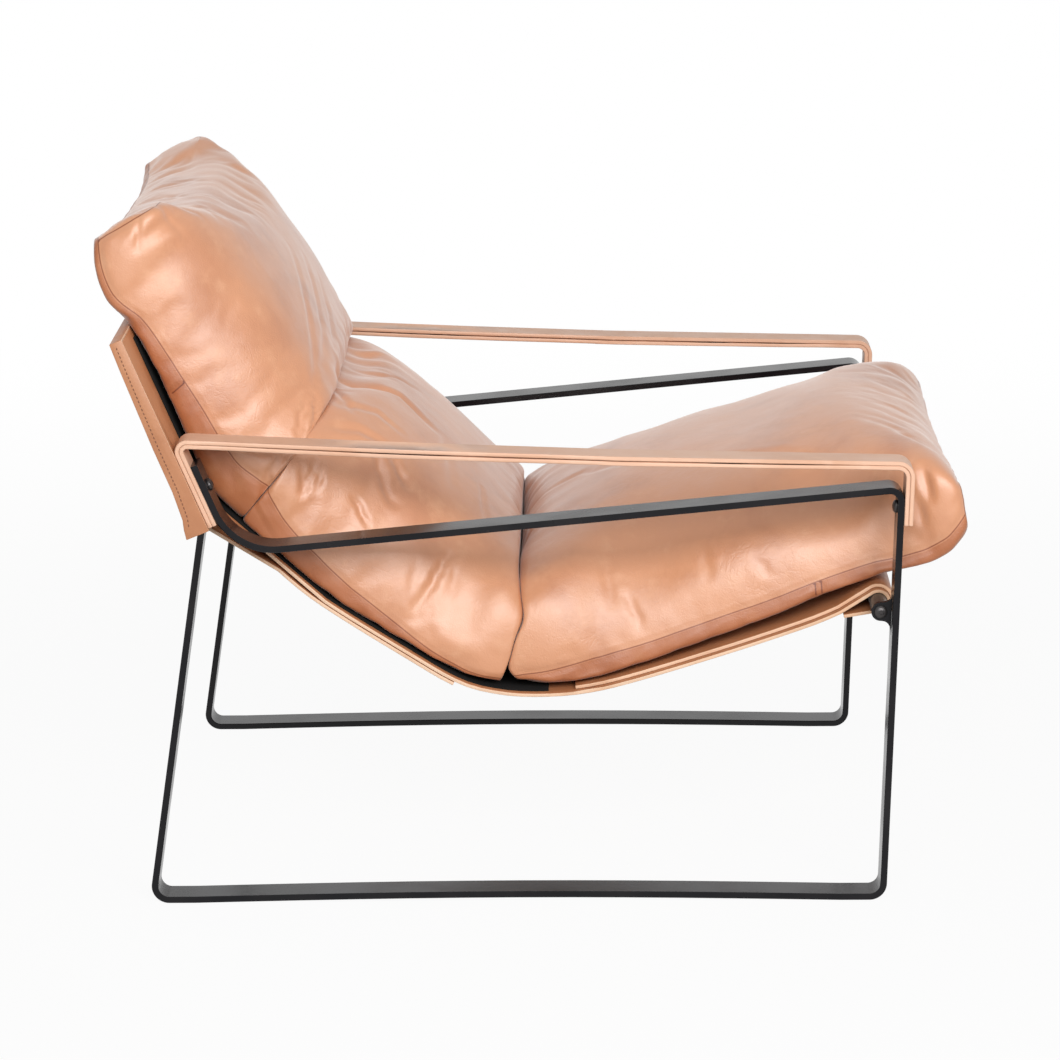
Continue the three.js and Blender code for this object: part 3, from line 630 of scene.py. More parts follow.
# %% Sleeve
sleeve_thickness, sleeve_rounding = 0.002, 0.0005
back_panel = sheet_from(
    "sleeve_back_panel", "sleeve_back", sling_finish, sleeve_thickness, sleeve_rounding, crosswise_cuts)
front_panel = sheet_from(
    "sleeve_front_panel", "sleeve_front", sling_finish, sleeve_thickness, sleeve_rounding, (1, 1))
gusset = sheet_from(
    "sleeve_gusset", "sleeve_side_strip", sling_finish, sleeve_thickness, sleeve_rounding, (1, 1))

# %% [markdown]
# The sleeve is closed by a row of stitches near its rear edge, and the sling is folded back over each rod and
# sewn to itself with two rows. A thread drawn as one long cord would be heavy for what can be seen of it, so
# every stitch is a short rounded thread that sinks a little into the leather, found by casting a ray at the
# sheet.

# %% One row of stitches
stitch_pitch, stitch_length, stitch_thick = 0.0045, 0.0033, 0.0013
cast_from = 0.05


def sew(mesh, target, line, toward):
    """Lays stitches along a line of points, where rays toward the target meet it."""
    skin = bvhtree.BVHTree.FromObject(target, bpy.context.evaluated_depsgraph_get())
    toward = Vector(toward).normalized()
    row = bmesh.new()
    for a, b in zip(line, line[1:]):
        a, b = Vector(a), Vector(b)
        count = max(round((b - a).length / stitch_pitch), 1)
        for k in range(count):
            spot = skin.ray_cast(a.lerp(b, (k + 0.5) / count) - toward * cast_from, toward)[0]
            if spot is None:
                continue
            along = (b - a).normalized()
            aside = along.cross(toward)
            turn = Matrix((along, aside, toward)).transposed().to_4x4()
            size = Matrix.Diagonal((stitch_length, stitch_thick, stitch_thick, 1.0))
            place = Matrix.Translation(spot) @ turn @ size
            bmesh.ops.create_uvsphere(row, u_segments=6, v_segments=4, radius=0.5, matrix=place)
    sewn = bpy.data.meshes.new("row")
    row.to_mesh(sewn)
    row.free()
    mesh.from_mesh(sewn)
    bpy.data.meshes.remove(sewn)


print("one stitch every", 1000 * stitch_pitch, "mm")

# %% Stitches on the sleeve and the sling
lean = math.radians(22.78)
knee = Vector((-0.3451, 0.0, 0.4115))
lean_up = Vector((-math.sin(lean), 0, math.cos(lean)))
lean_out = Vector((math.cos(lean), 0, math.sin(lean)))
sleeve_rear = [(-0.0178, 0.0053), (-0.0148, 0.0153), (-0.0122, 0.0468), (-0.0119, 0.0956), (-0.0090, 0.1869),
               (-0.0078, 0.2100)]
seam_inset = 0.0058
sleeve_side, panel_side = 0.353, 0.3503
top_row_up, top_row_half = 0.206, 0.34
sling_rows, sling_row_half, below_sling = (-0.098, -0.106, 0.344, 0.337), 0.286, 0.15


def sleeve_row(y, inset):
    """Points up the sleeve's rear edge, at a distance across the chair and a distance in from the edge."""
    return [knee + lean_up * up + lean_out * (out + inset) + Vector((0, y, 0)) for out, up in sleeve_rear]


def row_across(place, half):
    return [place + Vector((0, -half, 0)), place + Vector((0, half, 0))]


def add_stitches():
    mesh = bmesh.new()
    for side in (-1, 1):
        sew(mesh, gusset, sleeve_row(side * sleeve_side, seam_inset), (0, -side, 0))
        sew(mesh, back_panel, sleeve_row(side * (panel_side - seam_inset), 0.0), lean_out)
    top = knee + lean_up * top_row_up + lean_out * sleeve_rear[-1][0]
    sew(mesh, back_panel, row_across(top, top_row_half), lean_out)
    for x in sling_rows:
        sew(mesh, sling, row_across(Vector((x, 0.0, below_sling)), sling_row_half), (0, 0, 1))
    stitches = finish_piece("stitches", mesh, [thread])
    print("stitches", len(stitches.data.polygons), "faces")


add_stitches()

# %% [markdown]
# ## Cushions
# Each cushion is a leather case filled until it crowns. Its cover runs over the front and round the sides to
# a seam near the back, and its corners end in small points. A box of cloth is a good start: its cells are
# even, so the cloth can bend the same way everywhere. The box is laid on the line that the cushion rests on,
# rounded, and then blown up by a short cloth simulation with its underside held.

# %% Profiles and lines


def smooth_through(rows):
    """A function that runs smoothly through rows of (share, value)."""
    shares, values = np.array(rows, dtype=float).T
    gaps = np.diff(shares)
    slopes = np.diff(values) / gaps
    inner = (slopes[:-1] * gaps[1:] + slopes[1:] * gaps[:-1]) / (gaps[1:] + gaps[:-1])
    tangents = np.concatenate(([slopes[0]], inner, [slopes[-1]]))

    def value(share):
        share = min(max(share, shares[0]), shares[-1])
        k = min(int(np.searchsorted(shares, share, side="right")) - 1, len(gaps) - 1)
        t = (share - shares[k]) / gaps[k]
        return ((2 * t**3 - 3 * t**2 + 1) * values[k] + (t**3 - 2 * t**2 + t) * gaps[k] * tangents[k]
                + (3 * t**2 - 2 * t**3) * values[k + 1] + (t**3 - t**2) * gaps[k] * tangents[k + 1])

    return value


def line_point(line, share):
    """The point at a share of the length of a line of (x, z) points."""
    steps = [math.dist(a, b) for a, b in zip(line, line[1:])]
    left = min(max(share, 0.0), 1.0) * sum(steps)
    for a, b, step in zip(line, line[1:], steps):
        if left <= step:
            return Vector(a).lerp(Vector(b), left / step)
        left -= step
    return Vector(line[-1])


print("halfway along a line from 0 to 1:", line_point([(0.0, 0.0), (1.0, 0.0)], 0.5).x)

# %% [markdown]
# The cloth starts as a cube whose faces are cut into even cells. A cushion's section isn't an ellipse: under
# the seam it is tight and low, and over the seam it is a full crown, so the two parts of the outline are
# drawn apart and the cell corners are spread evenly along each of them.

# %% Box of cloth and its section
outline_steps = 48
turn_least, turn_power = 0.002, 0.8


def box_of_cloth(cells):
    """A cube of even cells, with a chosen number of cells along X, Y and Z."""
    mesh = bmesh.new()
    bmesh.ops.create_cube(mesh, size=2.0)
    for axis, count in enumerate(cells):
        along = [e for e in mesh.edges if abs((e.verts[0].co - e.verts[1].co)[axis]) > 1.9]
        bmesh.ops.subdivide_edges(mesh, edges=along, cuts=count - 1, use_grid_fill=True)
    return mesh


def with_lengths(run):
    """A run of points, and how far along the run each of them lies."""
    run = np.array(run)
    return run, np.concatenate(([0.0], np.cumsum(np.hypot(*np.diff(run, axis=0).T))))


def half_outline(width, height, seam_height, crown, undercut):
    """The right half of a cushion's section as two runs of (y, z): underside to seam, and seam to crown."""
    quarter = [math.pi / 2 * k / outline_steps for k in range(outline_steps + 1)]
    turn = turn_least + undercut * seam_height
    under = [(0.0, 0.0)] + [
        (width - turn * (1 - math.sin(a) ** turn_power), seam_height * (1 - math.cos(a) ** turn_power))
        for a in quarter]
    rise = height - seam_height
    over = [(width * math.cos(a) ** (2 / crown), seam_height + rise * math.sin(a) ** (2 / crown))
            for a in quarter]
    return with_lengths(under), with_lengths(over)


def on_run(run, share):
    points, lengths = run
    spot = share * lengths[-1]
    return float(np.interp(spot, lengths, points[:, 0])), float(np.interp(spot, lengths, points[:, 1]))


def section_place(outline, cells, seam_row, v, w, height):
    """Where the cell corner (v across from -1 to 1, w up from 0 to 1) lies on the section."""
    reach = max(abs(v), abs(2 * w - 1))
    middle = height / 2
    if reach < 1e-6:
        return 0.0, middle
    edge_v, edge_w = abs(v) / reach, 0.5 + (w - 0.5) / reach
    across, rows = cells[1] / 2, cells[2]
    if edge_w <= 1e-6:
        steps = edge_v * across
    elif edge_w >= 1 - 1e-6:
        steps = across + rows + (1 - edge_v) * across
    else:
        steps = across + edge_w * rows
    to_seam = across + seam_row
    if steps <= to_seam:
        y, z = on_run(outline[0], steps / to_seam)
    else:
        y, z = on_run(outline[1], (steps - to_seam) / (2 * across + rows - to_seam))
    return math.copysign(y, v) * reach, middle + (z - middle) * reach


trial = box_of_cloth((4, 4, 2))
print("a trial box of 4 by 4 by 2 cells has", len(trial.faces), "faces")
trial.free()

# %% [markdown]
# Laying the cloth gives the cushion its place and its body. Along its length the height, the width, the seam
# and the fullness of the crown follow smooth profiles. The ends bulge, the underside rests on the sling, and
# the edge of the leather droops a little over the sling's edge.

# %% Laying the cloth
case_half_width = 0.292
draw_in = 0.004
under_size = 0.003
rest_gap = 0.0006
end_reach = 0.06
belly_height, belly_least = 0.02, 0.25
droop_from, droop_blend = 0.2835, 0.004
sag_share = 0.7


def between(ends, share):
    return ends[0] + (ends[1] - ends[0]) * share


def lay_cushion(mesh, form, cells):
    """Moves the cells of a box of cloth to the place and shape of a cushion."""
    height_at, width_at = smooth_through(form["heights"]), smooth_through(form["widths"])
    seam_at, crown_at = smooth_through(form["seam_heights"]), smooth_through(form["crowns"])
    droop_at, sag_at = smooth_through(form["droops"]), smooth_through(form["sags"])
    outlines = {}
    for vert in mesh.verts:
        u, v, w = (vert.co.x + 1) / 2, vert.co.y, (vert.co.z + 1) / 2
        foot = line_point(form["rest"], between((form["start"], form["end"]), u))
        heading = math.radians(between(form["headings"], u))
        height = form["thickness"] * height_at(u) - under_size
        start_share = max(0.0, 1 - u * form["length"] / end_reach) ** 2
        end_share = max(0.0, 1 - (1 - u) * form["length"] / end_reach) ** 2
        if round(u, 5) not in outlines:
            width = case_half_width * width_at(u) - draw_in * math.sin(math.pi * u) - under_size
            outlines[round(u, 5)] = half_outline(width, height, seam_at(u), crown_at(u), form["undercut"])
        y, z = section_place(outlines[round(u, 5)], cells, form["seam_row"], v, w, height)
        lift = Vector((math.cos(heading), math.sin(heading)))
        along = Vector((math.sin(heading), -math.cos(heading)))
        belly = belly_least + (1 - belly_least) * min(max(z, 0.0) / belly_height, 1.0) ** 0.5
        push = belly * (form["bulge"][1] * end_share - form["bulge"][0] * start_share)
        push += (1 - v**4) * (form["dips"][0] * start_share - form["dips"][1] * end_share)
        push += form["lean"] * end_share * max(z, 0.0) / height
        if z < belly_height:
            over_edge = min(max((abs(y) - droop_from) / droop_blend, 0.0), 1.0)
            z -= droop_at(u) * over_edge * (1 - z / belly_height)
        z -= sag_at(u) * max(0.0, 1 - z / (sag_share * height)) ** 2
        place = foot + lift * (z + rest_gap) + along * push
        place.y -= stretch_sag(foot.x)
        vert.co = Vector((place.x, y, place.y))


print("cushion cases are", 2 * case_half_width, "m wide")

# %% [markdown]
# After the cloth has been blown up, every cell is cut in four, so that folds of a few millimetres can be
# pressed into real geometry. A fold in leather is a narrow valley with a low ridge on each side. It could be
# painted as a bump, but then it would vanish at the outline and in the exported mesh.

# %% Finer cells and folds
fade_start, fade_power = 0.06, 0.7


def refine(piece):
    """Cuts every cell in four along a smooth surface, and makes that the piece's own mesh."""
    smooth = piece.modifiers.new("smooth", "SUBSURF")
    smooth.levels = smooth.render_levels = 1
    view = bpy.context.evaluated_depsgraph_get()
    fine = bpy.data.meshes.new_from_object(piece.evaluated_get(view))
    piece.modifiers.remove(smooth)
    coarse, piece.data = piece.data, fine
    bpy.data.meshes.remove(coarse)


def read_vectors(data, name):
    values = np.empty(3 * len(data.vertices))
    data.attributes[name].data.foreach_get("vector", values)
    return values.reshape(-1, 3)


def on_skin(points, line, steps=4):
    """A line with more points, each moved to the nearest point of the surface."""
    line = np.array(line)
    spots = [a + (b - a) * k / steps for a, b in zip(line, line[1:]) for k in range(steps)] + [line[-1]]
    return [points[np.argmin(((points - spot) ** 2).sum(axis=1))] for spot in spots]


def furrow(points, line, depth, width):
    """The rise of a fold along a line: a valley with a low ridge on each side, fading at both ends."""
    nearest, along, run = np.full(len(points), 9.0), np.zeros(len(points)), 0.0
    for a, b in zip(line, line[1:]):
        step = b - a
        size = max(np.linalg.norm(step), 1e-6)
        share = np.clip((points - a) @ step / size**2, 0, 1)
        away = np.linalg.norm(points - a - share[:, None] * step, axis=1)
        closer = away < nearest
        nearest, along = np.where(closer, away, nearest), np.where(closer, run + share * size, along)
        run += size
    spread = (nearest / width) ** 2
    fade = np.sin(np.pi * (fade_start + (1 - 2 * fade_start) * along / run)) ** fade_power
    return depth * fade * (spread - 1) * np.exp(-spread)


trial = furrow(np.zeros((1, 3)), np.array([(0, -1, 0), (0, 1, 0)]), 0.001, 0.005)
print("a fold 1 mm deep sinks by", round(-1000 * trial[0], 3), "mm at its middle")

# %% Rumples
hollows = [(0.0012, 8.0), (0.0005, 24.0)]
gather_grain, gather_start = (5.0, 34.0, 6.0), 0.01
mirrored_from, mirrored_share, twin_shift = 0.15, 0.3, 0.012
on_face, underside_share = 0.999, 0.2


def gather_shift(points, corners, form, seed):
    """Small ridges that run in from the sewn ends of a cushion and die out."""
    shift = np.zeros(len(points))
    for end, size, reach in form["gathers"]:
        away = np.abs((corners[:, 0] + 1) / 2 - end) * form["length"]
        strength = size * np.exp(-away / reach) * np.minimum(away / gather_start, 1.0)
        for k in np.flatnonzero(strength > 1e-4):
            spot = Vector(np.array((away[k], points[k][1], points[k][2])) * gather_grain)
            shift[k] += strength[k] * noise.noise(spot + seed)
    return shift


def fold_shift(points, folds):
    """The folds that the leather has taken, and on the far side a weak twin of those near an edge."""
    shift = np.zeros(len(points))
    for depth, width, *line in folds:
        shift += furrow(points, on_skin(points, line), depth, width)
        if all(abs(spot[1]) > mirrored_from for spot in line):
            twin = [(x + twin_shift, -y, z) for x, y, z in line]
            shift += furrow(points, on_skin(points, twin), mirrored_share * depth, width)
    return shift


def rumple(data, form):
    """Shallow hollows, gathers that run in from a sewn end, and folds."""
    points, corners = read_vectors(data, "position"), read_vectors(data, "corner")
    normals = np.empty(points.size)
    data.vertex_normals.foreach_get("vector", normals)
    seed = Vector(form["seed"])
    shift = np.array([sum(size * noise.noise(Vector(p) * scale + seed) for size, scale in hollows)
                      for p in points])
    shift += gather_shift(points, corners, form, seed) + fold_shift(points, form["folds"])
    shift[corners[:, 2] < -on_face] *= underside_share
    points += normals.reshape(-1, 3) * shift[:, None]
    data.attributes["position"].data.foreach_set("vector", points.ravel())


print("hollows up to", 1000 * hollows[0][0], "mm deep")

# %% [markdown]
# The seams of a case run round it below the crown, down its corners, and across its boxing where strips meet.
# They are picked as rows and columns of cells on the box of cloth, which is where a maker would draw them.

# %% Seams
on_row, seam_reach = 1e-3, 0.03


def sewn(places, form, cells):
    """Which points of the cloth lie on a seam, from their places on the box of cells."""
    row = -1 + 2 * form["seam_row"] / cells[2]
    x, y, z = places.T
    side = np.abs(y) > on_face
    chosen = (side | (np.abs(x) > on_face)) & (np.abs(z - row) < on_row)
    for end in form["end_seams"]:
        chosen |= side & (np.abs(x - end) < on_row) & (z > row - on_row)
    for share in form["cross_seams"]:
        column = -1 + 2 * round(share * cells[0]) / cells[0]
        chosen |= side & (np.abs(x - column) < on_row) & (z < row + on_row)
    return chosen


def mark_seams(data, chosen):
    """Stores each point's distance from the nearest seam."""
    points = read_vectors(data, "position")
    ends = np.empty(2 * len(data.edges), dtype=int)
    data.edges.foreach_get("vertices", ends)
    ends = ends.reshape(-1, 2)
    ends = ends[chosen[ends].all(axis=1)]
    spots = [points[ends[:, 0]] * (1 - share) + points[ends[:, 1]] * share for share in (0, 0.33, 0.67, 1)]
    spots = np.concatenate(spots)
    tree = kdtree.KDTree(len(spots))
    for index, spot in enumerate(spots):
        tree.insert(spot, index)
    tree.balance()
    reach = data.attributes.new("seam_distance", "FLOAT", "POINT")
    reach.data.foreach_set("value", [min(tree.find(point)[2], seam_reach) for point in points])


print("seam distances are kept up to", 1000 * seam_reach, "mm")

# %% [markdown]
# Blowing up is a short cloth simulation with pressure inside. The underside is held, the seams are pulled
# tight, and no point may go further than a set distance, so the filled case keeps the size of the real one.

# %% Blowing up
cloth_frames = 20
pressure, growth, seam_pull, furthest = 4.0, 0.01, 0.02, 0.010


def blow_up(piece, held, tight):
    """Inflates the cloth with the held points fixed, and limits how far each point may go."""
    start = [vert.co.copy() for vert in piece.data.vertices]
    held_group = piece.vertex_groups.new(name="held")
    for index, weight in held:
        held_group.add([index], weight, "REPLACE")
    tight_group = piece.vertex_groups.new(name="tight")
    tight_group.add(tight, 1.0, "REPLACE")
    cloth = piece.modifiers.new("cloth", "CLOTH")
    settings = cloth.settings
    settings.quality = 5
    settings.mass = 0.3
    settings.tension_stiffness = 15
    settings.compression_stiffness = 15
    settings.bending_stiffness = 0.3
    settings.use_pressure = True
    settings.uniform_pressure_force = pressure
    settings.shrink_min = -growth
    settings.shrink_max = seam_pull
    settings.vertex_group_shrink = "tight"
    settings.vertex_group_mass = "held"
    settings.effector_weights.gravity = 0.0
    cloth.collision_settings.use_collision = False
    cloth.point_cache.frame_end = cloth_frames
    for step in range(1, cloth_frames + 1):
        scene.frame_set(step)
    view = bpy.context.evaluated_depsgraph_get()
    moved = piece.evaluated_get(view).to_mesh()
    for vert, before, after in zip(piece.data.vertices, start, moved.vertices):
        shift = after.co - before
        size = shift.length
        if size > 1e-9:
            vert.co = before + shift * (furthest * math.tanh(size / furthest) / size)
    piece.evaluated_get(view).to_mesh_clear()
    piece.modifiers.remove(cloth)
    scene.frame_set(1)


print("the cloth moves for", cloth_frames, "frames")

# %% [markdown]
# Where two cushions touch, each flattens the other. A collision in the simulation would be slow and would
# leave a gap, so each case is instead eased back from a shared sloping surface, which bends a little where
# one cushion presses harder.

# %% Pressing
press_gap, press_blend = 0.0002, 0.003
bend_middle, bend_power = 0.3, 3


def press_against(piece, point, heading, bends, side):
    """Flattens a cushion where it would pass the sloping, slightly bent surface that it shares."""
    lift = Vector((math.cos(math.radians(heading)), 0, math.sin(math.radians(heading))))
    outward = Vector((lift.z, 0, -lift.x)) * side
    base = Vector((point[0], 0, point[1]))
    bend_at = smooth_through(bends)
    for vert in piece.data.vertices:
        toward_side = min(abs(vert.co.y) / case_half_width, 1.0) ** bend_power
        bend = side * bend_at(vert.co.z) * (bend_middle + (1 - bend_middle) * toward_side)
        depth = (vert.co - base).dot(outward) - bend + press_gap
        if depth > -press_blend:
            soft = -press_blend + press_blend * (1 - math.exp(-(depth + press_blend) / press_blend))
            vert.co += outward * (soft - depth)


print("pressed faces lie", 2000 * press_gap, "mm apart")

# %% [markdown]
# One cushion is then a matter of doing these steps in order. The cell corners' places on the box are stored
# on the mesh before it is changed, because the seams, the gathers and the finish all need them later.

# %% One cushion
held_edge, held_slope = 0.3, 6


def make_cushion(name, form, cells, node):
    mesh = box_of_cloth(cells)
    mesh.verts.index_update()
    places = np.array([vert.co for vert in mesh.verts])
    lay_cushion(mesh, form, cells)
    held = [(index, min(1.0, held_edge + held_slope * min(1 - abs(x), 1 - abs(y))))
            for index, (x, y, z) in enumerate(places) if z < -on_face]
    tight = np.flatnonzero(sewn(places, form, cells)).tolist()
    piece = finish_piece(name, mesh, [cushion_leather])
    kept = piece.data.attributes.new("corner", "FLOAT_VECTOR", "POINT")
    kept.data.foreach_set("vector", places.ravel())
    blow_up(piece, held, tight)
    refine(piece)
    mark_seams(piece.data, sewn(read_vectors(piece.data, "corner"), form, cells))
    rumple(piece.data, form)
    for plane in form["pressed"]:
        press_against(piece, *plane)
    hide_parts(node)
    low, high = ([round(v, 3) for v in piece.bound_box[corner]] for corner in (0, 6))
    print(name, len(piece.data.polygons), "faces from", low, "to", high)


print("the underside is held by", held_edge, "at its edge and fully inside")

# %% [markdown]
# ## The back cushion
# The back cushion is one long case that is sewn through at a channel and folds there. One long box of cloth
# would have to be bent sharply at the fold, where its cells would crumple, so its two halves are made as two
# blown-up cases that press on each other along the fold. A meeting surface is given by a point, its slope in
# degrees, and how far it bends forward at each height.

# %% What the cushions rest on, and where they meet
back_rest = [
    (-0.4586, 0.7022), (-0.4301, 0.6342), (-0.4015, 0.5661), (-0.3729, 0.4981), (-0.3586, 0.4641),
    (-0.3414, 0.4316), (-0.3152, 0.4058), (-0.2876, 0.3812), (-0.2601, 0.3566), (-0.2326, 0.3320),
    (-0.2034, 0.3096), (-0.1722, 0.2899), (-0.1409, 0.2705), (-0.1098, 0.2506), (-0.0777, 0.2324),
    (-0.0425, 0.2218)]
seat_rest = [
    (-0.0140, 0.2209), (0.0146, 0.2211), (0.0432, 0.2234), (0.0714, 0.2283), (0.0992, 0.2353),
    (0.1268, 0.2429), (0.1818, 0.2591), (0.2365, 0.2761), (0.2633, 0.2861), (0.3154, 0.3100),
    (0.3414, 0.3219), (0.3667, 0.3353), (0.3933, 0.3457), (0.4187, 0.3589), (0.4419, 0.3751),
    (0.4603, 0.3971)]
fold_share = 0.51
seat_crease = ((-0.0318, 0.2215), 82.6, [
    (0.222, -0.005), (0.243, 0.001), (0.271, 0.006), (0.293, 0.0125), (0.315, 0.007), (0.337, 0.0),
    (0.375, 0.002), (0.413, 0.0035), (0.46, 0.001)])
fold_foot = line_point(back_rest, fold_share)
fold = (tuple(fold_foot), 51.0, [
    (fold_foot.y, 0.0), (fold_foot.y + 0.02, 0.0), (fold_foot.y + 0.055, 0.0015), (fold_foot.y + 0.096, 0.0)])
for name, line in (("back", back_rest), ("seat", seat_rest)):
    print("the", name, "rests on a line", round(sum(map(math.dist, line, line[1:])), 3), "m long")

# %% [markdown]
# The head section leans on the sleeve, overhangs it at the top, and is fullest near the fold. Its top corners
# are drawn out into small points, because the cover has a seam down each of them. Each profile is a list of
# (share of the length, value), each gather is (end, size, reach), and each fold is (depth, width, points).

# %% Head section
head_form = dict(
    rest=back_rest, start=0.0, end=fold_share, length=0.337, headings=(30, 51), thickness=0.166,
    heights=[(0, 0.47), (0.06, 0.61), (0.2, 0.76), (0.45, 0.91), (0.7, 1.01), (0.9, 1.02), (1, 0.96)],
    widths=[(0, 0.96), (0.06, 0.985), (0.2, 0.995), (0.9, 0.995), (1, 0.985)],
    seam_heights=[(0, 0.003), (0.13, 0.0055), (0.35, 0.016), (0.5, 0.023), (0.7, 0.036), (0.85, 0.043),
                  (1, 0.050)],
    crowns=[(0, 12), (0.05, 5.0), (0.12, 3.8), (0.3, 3.0), (0.6, 2.8), (1, 3.1)], bulge=(0.0, 0.017),
    seam_row=3, end_seams=[-1], cross_seams=[0.549], seed=(3, 1, 4),
    droops=[(0, 0), (1, 0)], dips=(0.018, 0.0), lean=0.0, undercut=0.3,
    sags=[(0, 0.002), (0.075, 0.012), (0.13, 0.015), (0.18, 0.015), (0.225, 0.010), (0.275, 0.002), (0.31, 0),
          (1, 0)],
    gathers=[(0, 0.0020, 0.05), (1, 0.004, 0.05)],
    folds=[
        (0.0048, 0.005, (-0.284, -0.286, 0.431), (-0.275, -0.286, 0.460), (-0.256, -0.277, 0.476)),
        (0.0050, 0.005, (-0.280, -0.286, 0.432), (-0.262, -0.284, 0.452), (-0.243, -0.272, 0.468)),
        (0.0040, 0.005, (-0.247, -0.267, 0.490), (-0.243, -0.253, 0.510), (-0.240, -0.236, 0.523)),
        (0.0040, 0.005, (-0.238, -0.250, 0.485), (-0.234, -0.238, 0.504), (-0.234, -0.224, 0.523)),
        (0.0020, 0.008, (-0.278, -0.017, 0.647), (-0.257, -0.111, 0.608), (-0.238, -0.233, 0.522)),
        (0.0022, 0.008, (-0.265, 0.023, 0.627), (-0.247, -0.066, 0.589), (-0.233, -0.179, 0.544)),
        (0.0020, 0.008, (-0.253, 0.046, 0.602), (-0.235, -0.044, 0.562), (-0.227, -0.106, 0.546)),
        (0.0018, 0.008, (-0.241, 0.150, 0.564), (-0.220, 0.087, 0.531)),
        (0.0010, 0.006, (-0.419, -0.032, 0.731), (-0.378, -0.075, 0.744), (-0.339, -0.075, 0.724)),
        (0.0010, 0.006, (-0.404, -0.205, 0.739), (-0.375, -0.175, 0.740), (-0.331, -0.130, 0.714)),
        (0.0010, 0.006, (-0.411, -0.243, 0.735), (-0.386, -0.222, 0.737), (-0.345, -0.216, 0.712)),
        (0.0010, 0.006, (-0.416, -0.264, 0.730), (-0.389, -0.255, 0.728), (-0.356, -0.256, 0.696)),
        (0.0010, 0.006, (-0.420, 0.069, 0.730), (-0.390, 0.050, 0.744), (-0.357, 0.020, 0.737)),
        (0.0022, 0.004, (-0.408, -0.274, 0.723), (-0.408, -0.285, 0.694))],
    pressed=[(*fold, 1)], fill=0.85)

make_cushion("back_cushion_head", head_form, (48, 84, 20), "back_cushion_upper")

# %% [markdown]
# The lumbar section lies in the bend of the sling. It is pressed by the head section above and by the seat
# cushion in front, so it has the most folds: gathers that run down from the channel, and creases toward the
# corner where all three meet.

# %% Lumbar section
lumbar_form = dict(
    rest=back_rest, start=fold_share, end=1.0, length=0.322, headings=(51, 79), thickness=0.176,
    heights=[(0, 0.88), (0.12, 0.93), (0.35, 0.99), (0.6, 0.96), (0.85, 0.87), (0.96, 0.76), (1, 0.66)],
    widths=[(0, 0.985), (0.12, 0.99), (0.35, 0.995), (0.85, 0.995), (0.96, 0.99), (1, 0.975)],
    seam_heights=[(0, 0.050), (0.1, 0.034), (0.3, 0.025), (0.5, 0.017), (0.75, 0.007), (1, 0.003)],
    crowns=[(0, 3.1), (0.5, 2.8), (0.85, 3.2), (1, 4.5)], bulge=(0.012, 0.018),
    seam_row=3, end_seams=[], cross_seams=[], seed=(1, 5, 9),
    droops=[(0, 0.0015), (0.4, 0.0035), (0.9, 0.0045), (1, 0.0035)],
    sags=[(0, 0), (1, 0)], dips=(0.0, 0.0), lean=0.0, undercut=0.08,
    gathers=[(0, 0.005, 0.06), (1, 0.003, 0.04)],
    folds=[
        (0.0036, 0.009, (-0.211, -0.073, 0.518), (-0.186, -0.080, 0.507), (-0.154, -0.066, 0.484),
         (-0.115, -0.087, 0.453)),
        (0.0020, 0.008, (-0.201, -0.004, 0.518), (-0.168, 0.002, 0.496), (-0.139, 0.026, 0.473)),
        (0.0026, 0.006, (-0.221, -0.130, 0.505), (-0.195, -0.189, 0.501)),
        (0.0022, 0.007, (-0.216, -0.236, 0.497), (-0.185, -0.212, 0.487), (-0.156, -0.205, 0.466)),
        (0.0020, 0.007, (-0.208, -0.188, 0.510), (-0.172, -0.161, 0.490), (-0.145, -0.166, 0.468)),
        (0.0032, 0.007, (-0.166, -0.226, 0.464), (-0.153, -0.246, 0.440), (-0.141, -0.256, 0.418)),
        (0.0030, 0.007, (-0.149, -0.213, 0.458), (-0.129, -0.232, 0.430)),
        (0.0042, 0.005, (-0.240, -0.281, 0.459), (-0.245, -0.286, 0.430)),
        (0.0042, 0.005, (-0.227, -0.274, 0.466), (-0.233, -0.283, 0.447), (-0.242, -0.286, 0.428)),
        (0.0036, 0.005, (-0.219, -0.274, 0.460), (-0.227, -0.284, 0.434)),
        (0.0032, 0.005, (-0.184, -0.272, 0.426), (-0.178, -0.276, 0.408), (-0.170, -0.278, 0.395)),
        (0.0036, 0.007, (-0.085, -0.264, 0.367), (-0.099, -0.280, 0.343), (-0.124, -0.283, 0.307)),
        (0.0014, 0.008, (-0.078, -0.269, 0.357), (-0.087, -0.283, 0.323)),
        (0.0014, 0.009, (-0.122, -0.279, 0.358), (-0.130, -0.283, 0.313)),
        (0.0026, 0.005, (-0.060, -0.127, 0.401), (-0.053, -0.188, 0.384)),
        (0.0016, 0.009, (-0.105, -0.080, 0.445), (-0.089, -0.177, 0.422))],
    pressed=[(*fold, -1), (*seat_crease, 1)], fill=0.8)

make_cushion("back_cushion_lumbar", lumbar_form, (46, 84, 20), "back_cushion_lower")

# %% [markdown]
# ## The seat cushion
# The seat cushion rises from the crease to the front rod and hangs a little over it. It is thickest near the
# back and runs out to a rolled front edge with a seam in each corner. Two seams across its boxing stand for a
# patch that is lapped there.

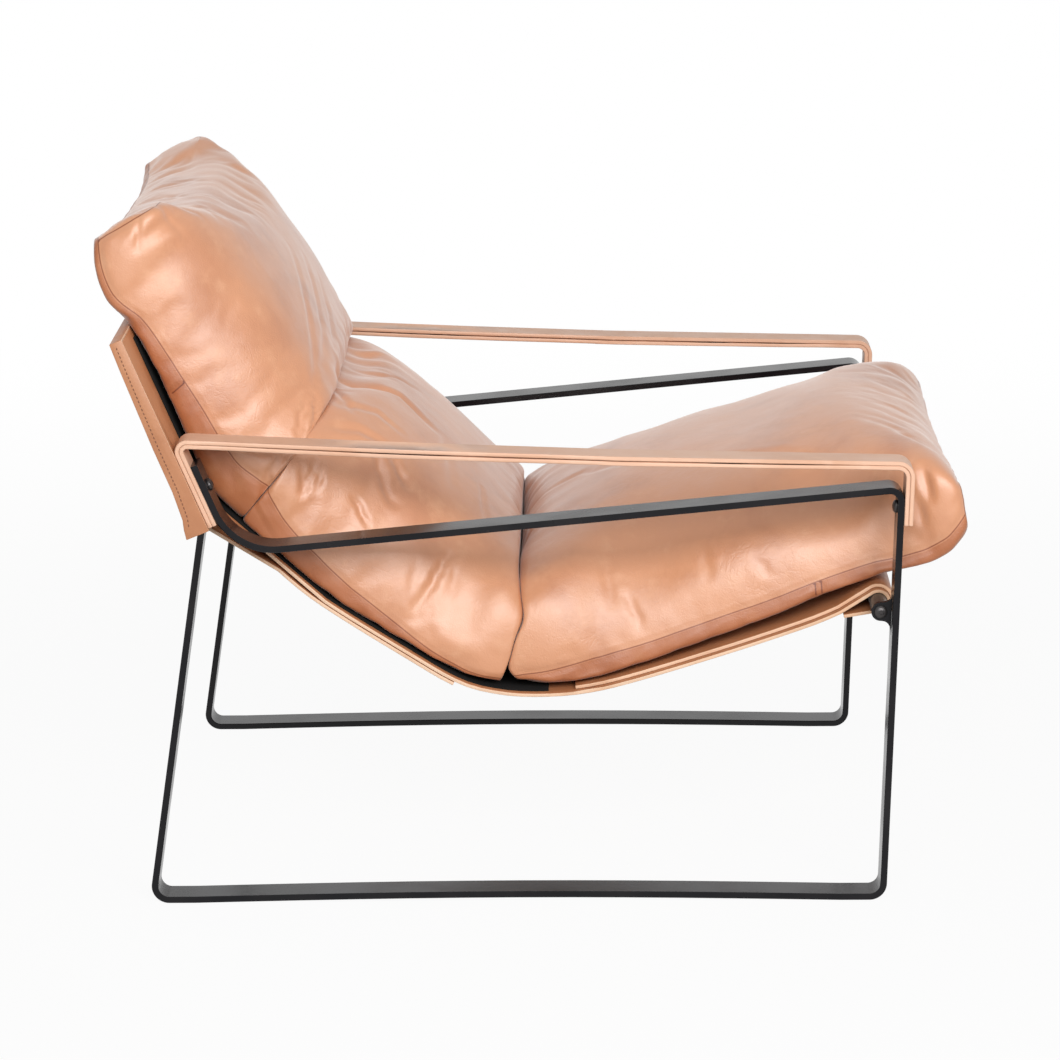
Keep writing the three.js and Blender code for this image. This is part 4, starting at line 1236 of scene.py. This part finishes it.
# %% Seat cushion
seat_form = dict(
    rest=seat_rest, start=0.0, end=1.0, length=0.515, headings=(79, 104), thickness=0.164,
    heights=[(0, 0.73), (0.04, 0.88), (0.16, 1.07), (0.32, 1.08), (0.5, 1.01), (0.68, 0.95), (0.8, 0.84),
             (0.9, 0.67), (0.97, 0.46), (1, 0.27)],
    widths=[(0, 0.975), (0.04, 0.99), (0.16, 0.995), (0.9, 0.995), (0.97, 0.995), (1, 0.985)],
    seam_heights=[(0, 0.003), (0.1, 0.018), (0.3, 0.021), (0.55, 0.020), (0.75, 0.016), (0.9, 0.012),
                  (1, 0.010)],
    crowns=[(0, 4.5), (0.1, 3.0), (0.5, 2.8), (0.8, 3.2), (0.92, 6), (1, 10)], bulge=(0.024, 0.003),
    seam_row=3, end_seams=[1], cross_seams=[0.639, 0.653], seed=(2, 6, 5),
    droops=[(0, 0.0035), (0.3, 0.005), (0.7, 0.005), (0.8, 0.002), (0.86, 0), (1, 0)],
    sags=[(0, 0), (0.8, 0), (0.84, 0.004), (0.89, 0.010), (0.94, 0.013), (1, 0.012)],
    dips=(0.0, 0.003), lean=0.005, undercut=0.08,
    gathers=[(0, 0.003, 0.04), (1, 0.003, 0.04)],
    folds=[
        (0.0050, 0.008, (0.415, -0.264, 0.449), (0.419, -0.285, 0.421)),
        (0.0034, 0.008, (0.405, -0.285, 0.421), (0.412, -0.288, 0.392)),
        (0.0016, 0.009, (0.418, 0.062, 0.477), (0.445, 0.095, 0.450)),
        (0.0016, 0.010, (0.353, -0.129, 0.479), (0.395, -0.167, 0.478), (0.425, -0.226, 0.462)),
        (0.0016, 0.008, (0.077, -0.237, 0.351), (0.084, -0.281, 0.311)),
        (0.0018, 0.007, (0.098, -0.276, 0.325), (0.114, -0.284, 0.283)),
        (0.0016, 0.008, (0.177, -0.261, 0.370), (0.185, -0.280, 0.338)),
        (0.0014, 0.008, (0.232, -0.277, 0.360), (0.253, -0.281, 0.338)),
        (0.0018, 0.008, (0.003, 0.217, 0.297), (0.035, 0.185, 0.341), (0.077, 0.116, 0.373)),
        (0.0018, 0.008, (0.013, 0.023, 0.331), (0.061, 0.008, 0.365), (0.121, -0.066, 0.395)),
        (0.0016, 0.010, (0.181, -0.110, 0.416), (0.267, -0.158, 0.443), (0.338, -0.234, 0.454))],
    pressed=[(*seat_crease, -1)], fill=0.85)

make_cushion("seat_cushion_case", seat_form, (72, 84, 20), "seat_cushion")
